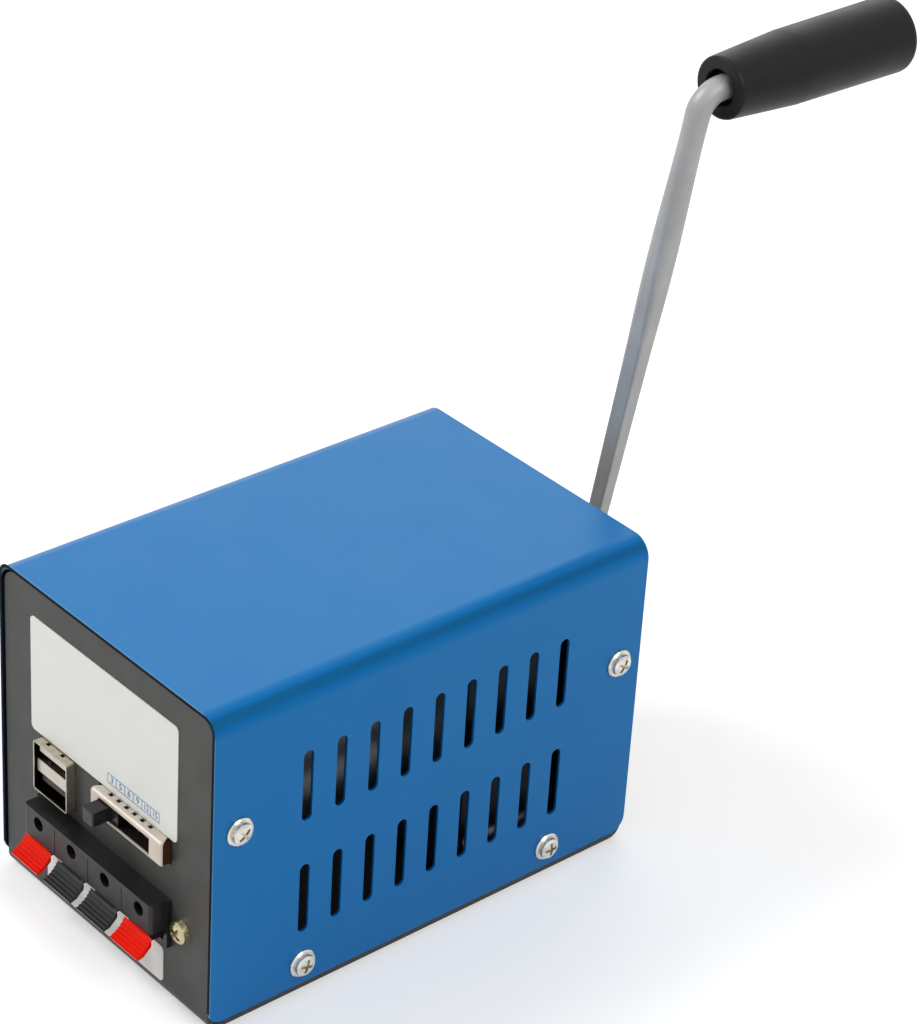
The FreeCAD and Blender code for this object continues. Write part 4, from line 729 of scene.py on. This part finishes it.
@dataclass
class EdgeShadeStrip:
    """A dark skin on the cover's front edge, painted shade that makes the dark line round the panel.

    Attributes:
        bottom: Lower end of the line in millimetres.
        ink: Thickness of the painted shade skin in millimetres.
        steps: Facets in each bend.
        merge: Corners closer than this are joined, in millimetres.
    """

    bottom: float = 6.0
    ink: float = 0.04
    steps: int = 12
    merge: float = 0.001

    def run(self, shape: bmesh.types.BMesh, edge: bmesh.types.BMEdge, move: Point) -> bmesh.types.BMEdge:
        """Draws the edge out along a straight run.

        Args:
            shape: Geometry that grows.
            edge: The last edge of the band.
            move: How far it goes, in millimetres.

        Returns:
            The new last edge.
        """
        grown = bmesh.ops.extrude_edge_only(shape, edges=[edge])["geom"]
        corners = [item for item in grown if isinstance(item, bmesh.types.BMVert)]
        bmesh.ops.translate(shape, verts=corners, vec=Vector(move) * MM)
        return next(item for item in grown if isinstance(item, bmesh.types.BMEdge)
                    and set(item.verts) == set(corners))

    def bend(self, shape: bmesh.types.BMesh, edge: bmesh.types.BMEdge, x: float) -> bmesh.types.BMEdge:
        """Turns the edge round one corner.

        Args:
            shape: Geometry that grows.
            edge: The last edge of the band.
            x: Middle of the bend across, in millimetres.

        Returns:
            The new last edge.
        """
        middle = Vector((x, COVER.front, COVER.bend_z)) * MM
        turned = bmesh.ops.spin(shape, geom=[edge, *edge.verts], cent=middle, axis=(0.0, 1.0, 0.0),
                                angle=math.pi / 2, steps=self.steps)["geom_last"]
        return next(item for item in turned if isinstance(item, bmesh.types.BMEdge))

    def build(self) -> None:
        """Adds the painted shade line to the cover's front edge."""
        shape = bmesh.new()
        corners = [shape.verts.new(Vector((-COVER.half_width + inset, COVER.front, self.bottom)) * MM)
                   for inset in (0.0, COVER.sheet)]
        edge = shape.edges.new(corners)
        rise = COVER.bend_z - self.bottom
        edge = self.run(shape, edge, (0.0, 0.0, rise))
        edge = self.bend(shape, edge, -COVER.bend_x)
        edge = self.run(shape, edge, (2 * COVER.bend_x, 0.0, 0.0))
        edge = self.bend(shape, edge, COVER.bend_x)
        self.run(shape, edge, (0.0, 0.0, -rise))
        bmesh.ops.remove_doubles(shape, verts=shape.verts, dist=self.merge * MM)
        skin = bmesh.ops.extrude_face_region(shape, geom=list(shape.faces))["geom"]
        front = [item for item in skin if isinstance(item, bmesh.types.BMVert)]
        bmesh.ops.translate(shape, verts=front, vec=Vector((0.0, -self.ink, 0.0)) * MM)
        bmesh.ops.recalc_face_normals(shape, faces=shape.faces)
        new_piece("cover_edge_shade", shape, EDGE_SHADE, "case")


SUB_ASSEMBLIES = (
    SolidGroup("case", {"chassis": PANEL_COAT, "cover": BLUE_COAT, "cover_screws": NICKEL_SCREW,
                        "upper_label": LABEL_FILM, "lower_label": LABEL_FILM}),
    SolidGroup("stacked sockets", {"usb_shell": SOCKET_SHELL, "usb_tongues": SOCKET_PLASTIC,
                                   "usb_contacts": CONTACT_METAL}),
    SolidGroup("selector", {"selector_frame": NICKEL_SHELL, "selector_base": LAMINATE,
                            "selector_contacts": CONTACT_METAL, "selector_knob": KNOB_PLASTIC}),
    SolidGroup("spring terminals", {"terminal_body": BLOCK_PLASTIC, "terminal_clips": CONTACT_METAL,
                                    "terminal_bracket": ZINC_SHEET, "terminal_screws": YELLOW_SCREW,
                                    "terminal_nuts": YELLOW_SCREW, "lever_1": LEVER_RED,
                                    "lever_2": LEVER_BLACK, "lever_3": LEVER_BLACK, "lever_4": LEVER_RED}),
    SolidGroup("circuit board", {"circuit_board": BOARD, "board_brackets": ZINC_SHEET,
                                 "board_screws": NICKEL_SCREW, "capacitors": COMPONENT, "inductor": COPPER,
                                 "regulator": COMPONENT, "heat_sink": ALUMINIUM, "red_lead": RED_WIRE,
                                 "black_lead": BLACK_WIRE}),
    SolidGroup("generator", {"generator_can": CAN_STEEL, "generator_bearing": BRONZE,
                             "end_bell": KNOB_PLASTIC, "brushes": CARBON, "magnets": MAGNET,
                             "rotor_shaft": GEAR_STEEL, "rotor_core": LAMINATIONS,
                             "rotor_windings": COPPER, "commutator": COPPER, "rotor_pinion": GEAR_STEEL}),
    SolidGroup("gearbox", {"gearbox_front_plate": ZINC_SHEET, "gearbox_mid_plate": ZINC_SHEET,
                           "gearbox_rear_plate": ZINC_SHEET, "gearbox_standoffs": ZINC_SHEET,
                           "gearbox_screws": NICKEL_SCREW, "gearbox_shroud": BLACK_PAINT_AND_SHADE,
                           "shaft_bushes": BRONZE, "first_pinion": GEAR_STEEL, "first_gear": GEAR_PLASTIC,
                           "second_pinion": GEAR_STEEL, "second_gear": GEAR_PLASTIC}),
    SolidGroup("crank", {"crank_shaft": GEAR_STEEL, "crank_gear": GEAR_STEEL, "crank_hub": ZINC_SHEET,
                         "crank_nut": NICKEL_SCREW, "crank_arm": ARM_STEEL, "grip": GRIP_PLASTIC,
                         "grip_washer": ZINC_SHEET, "grip_cap": GRIP_PLASTIC}),
)


@dataclass
class Softbox:
    """A soft rectangular studio lamp.

    Attributes:
        name: Name of the lamp.
        place: Where it hangs, in metres.
        aim: What it points at, in metres.
        size: Width and height in metres.
        power: Power in watts.
    """

    name: str
    place: Point
    aim: Point
    size: Tuple[float, float]
    power: float

    def build(self) -> None:
        """Adds the lamp to the scene."""
        lamp = bpy.data.lights.new(self.name, "AREA")
        lamp.shape = "RECTANGLE"
        lamp.size, lamp.size_y = self.size
        lamp.energy = self.power
        holder = bpy.data.objects.new(self.name, lamp)
        holder.location = self.place
        holder.rotation_euler = (Vector(self.aim) - Vector(self.place)).to_track_quat("-Z", "Y").to_euler()
        holder.visible_camera = False
        bpy.context.scene.collection.objects.link(holder)


@dataclass
class Studio:
    """Pale floor, soft lamps and the camera at the photograph's angle.

    Attributes:
        focal: Focal length in pixels of the longer side.
        frame_height: Longer side of the frame in pixels.
        azimuth: Angle of the camera round the vertical, in degrees.
        elevation: Angle of the camera above the floor, in degrees.
        roll: Tilt of the camera about its line of sight, in degrees.
        place: Where the camera stands, in millimetres.
        sensor: Width of the camera's sensor in millimetres.
        near: Nearest distance that the camera shows, in metres.
        floor_reach: How far the floor goes each way, in metres.
        floor_grey: Brightness of the floor's own colour.
        floor_roughness: Roughness of the floor.
        floor_lift: Brightness that the floor gains where it is seen, which leaves its shadow.
        world_light: Brightness of the surroundings as a light.
        lamps: Soft lamps.
    """

    focal: float = 3429.68
    frame_height: float = 1024.0
    azimuth: float = 47.62875
    elevation: float = 31.04527
    roll: float = 3.61991
    place: Point = (506.54, -423.26, 493.01)
    sensor: float = 36.0
    near: float = 0.01
    floor_reach: float = 3.0
    floor_grey: float = 0.9
    floor_roughness: float = 0.9
    floor_lift: float = 0.35
    world_light: float = 0.25
    lamps: Tuple[Softbox, ...] = field(default_factory=lambda: (
        Softbox("top_softbox", (-0.1, 0.15, 1.3), (0.0, 0.0, 0.05), (1.4, 1.4), 2.2),
        Softbox("left_softbox", (-0.75, -0.85, 1.15), (0.0, -0.05, 0.05), (0.5, 0.5), 11.5),
        Softbox("right_softbox", (1.05, 0.1, 1.05), (0.0, 0.0, 0.06), (0.8, 0.8), 6.8),
        Softbox("back_softbox", (-0.9, 0.82, 0.74), (0.0, 0.0, 0.08), (1.2, 1.2), 4.0),
    ))

    def camera(self) -> None:
        """Adds the camera."""
        az, el, roll = (math.radians(v) for v in (self.azimuth, self.elevation, self.roll))
        back = Vector((math.sin(az) * math.cos(el), -math.cos(az) * math.cos(el), math.sin(el)))
        right = Vector((math.cos(az), math.sin(az), 0.0))
        up = back.cross(right)
        turned_right = right * math.cos(roll) + up * math.sin(roll)
        turned_up = up * math.cos(roll) - right * math.sin(roll)
        data = bpy.data.cameras.new("camera")
        data.sensor_width = self.sensor
        data.lens = self.focal / self.frame_height * self.sensor
        data.clip_start = self.near
        camera = bpy.data.objects.new("camera", data)
        rotation = Matrix((turned_right, turned_up, back)).transposed()
        camera.matrix_world = Matrix.Translation(Vector(self.place) * MM) @ rotation.to_4x4()
        bpy.context.scene.collection.objects.link(camera)
        bpy.context.scene.camera = camera

    def floor(self) -> None:
        """Adds the pale floor, white to the camera and keeping the object's shadow."""
        shape = bmesh.new()
        bmesh.ops.create_grid(shape, x_segments=1, y_segments=1, size=self.floor_reach)
        mesh = bpy.data.meshes.new("floor")
        shape.to_mesh(mesh)
        shape.free()
        floor = bpy.data.objects.new("floor", mesh)
        bpy.context.scene.collection.objects.link(floor)
        material = bpy.data.materials.new("pale_floor")
        material.use_nodes = True
        tree = material.node_tree
        shader = tree.nodes["Principled BSDF"]
        grey = self.floor_grey
        shader.inputs["Base Color"].default_value = (grey, grey, grey, 1.0)
        shader.inputs["Roughness"].default_value = self.floor_roughness
        shader.inputs["Emission Color"].default_value = WHITE
        lift = maths(tree, "MULTIPLY", seen_rays(tree), self.floor_lift)
        tree.links.new(lift, shader.inputs["Emission Strength"])
        mesh.materials.append(material)

    def world(self) -> None:
        """Sets the pale surroundings, white to the camera and to reflections."""
        world = bpy.data.worlds.new("studio")
        bpy.context.scene.world = world
        world.use_nodes = True
        tree = world.node_tree
        tree.nodes.clear()
        output = tree.nodes.new("ShaderNodeOutputWorld")
        seen = tree.nodes.new("ShaderNodeBackground")
        seen.inputs["Color"].default_value = WHITE
        light = tree.nodes.new("ShaderNodeBackground")
        light.inputs["Color"].default_value = WHITE
        light.inputs["Strength"].default_value = self.world_light
        blend = tree.nodes.new("ShaderNodeMixShader")
        tree.links.new(seen_rays(tree), blend.inputs["Fac"])
        tree.links.new(light.outputs["Background"], blend.inputs[1])
        tree.links.new(seen.outputs["Background"], blend.inputs[2])
        tree.links.new(blend.outputs["Shader"], output.inputs["Surface"])

    def build(self) -> None:
        """Adds everything that isn't part of the object."""
        self.camera()
        self.floor()
        self.world()
        for lamp in self.lamps:
            lamp.build()
        bpy.context.scene.view_settings.view_transform = "Standard"
        LOG.info("studio: %d lamps", len(self.lamps))


def main() -> None:
    """Loads the solid model, dresses it and adds the studio."""
    logging.basicConfig(level=logging.INFO, format="%(name)s: %(message)s")
    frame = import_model()
    Studio().build()
    dressed: List[str] = []
    for part in SUB_ASSEMBLIES:
        dressed += part.dress(frame["nodes"])
    missing = sorted(set(frame["nodes"]) - set(dressed))
    if missing:
        LOG.warning("solid pieces without a finish: %s", ", ".join(missing))
    # Painted shade line along the cover's front edge.
    EdgeShadeStrip().build()
    PrintedScale().build()


if __name__ == "__main__":
    main()
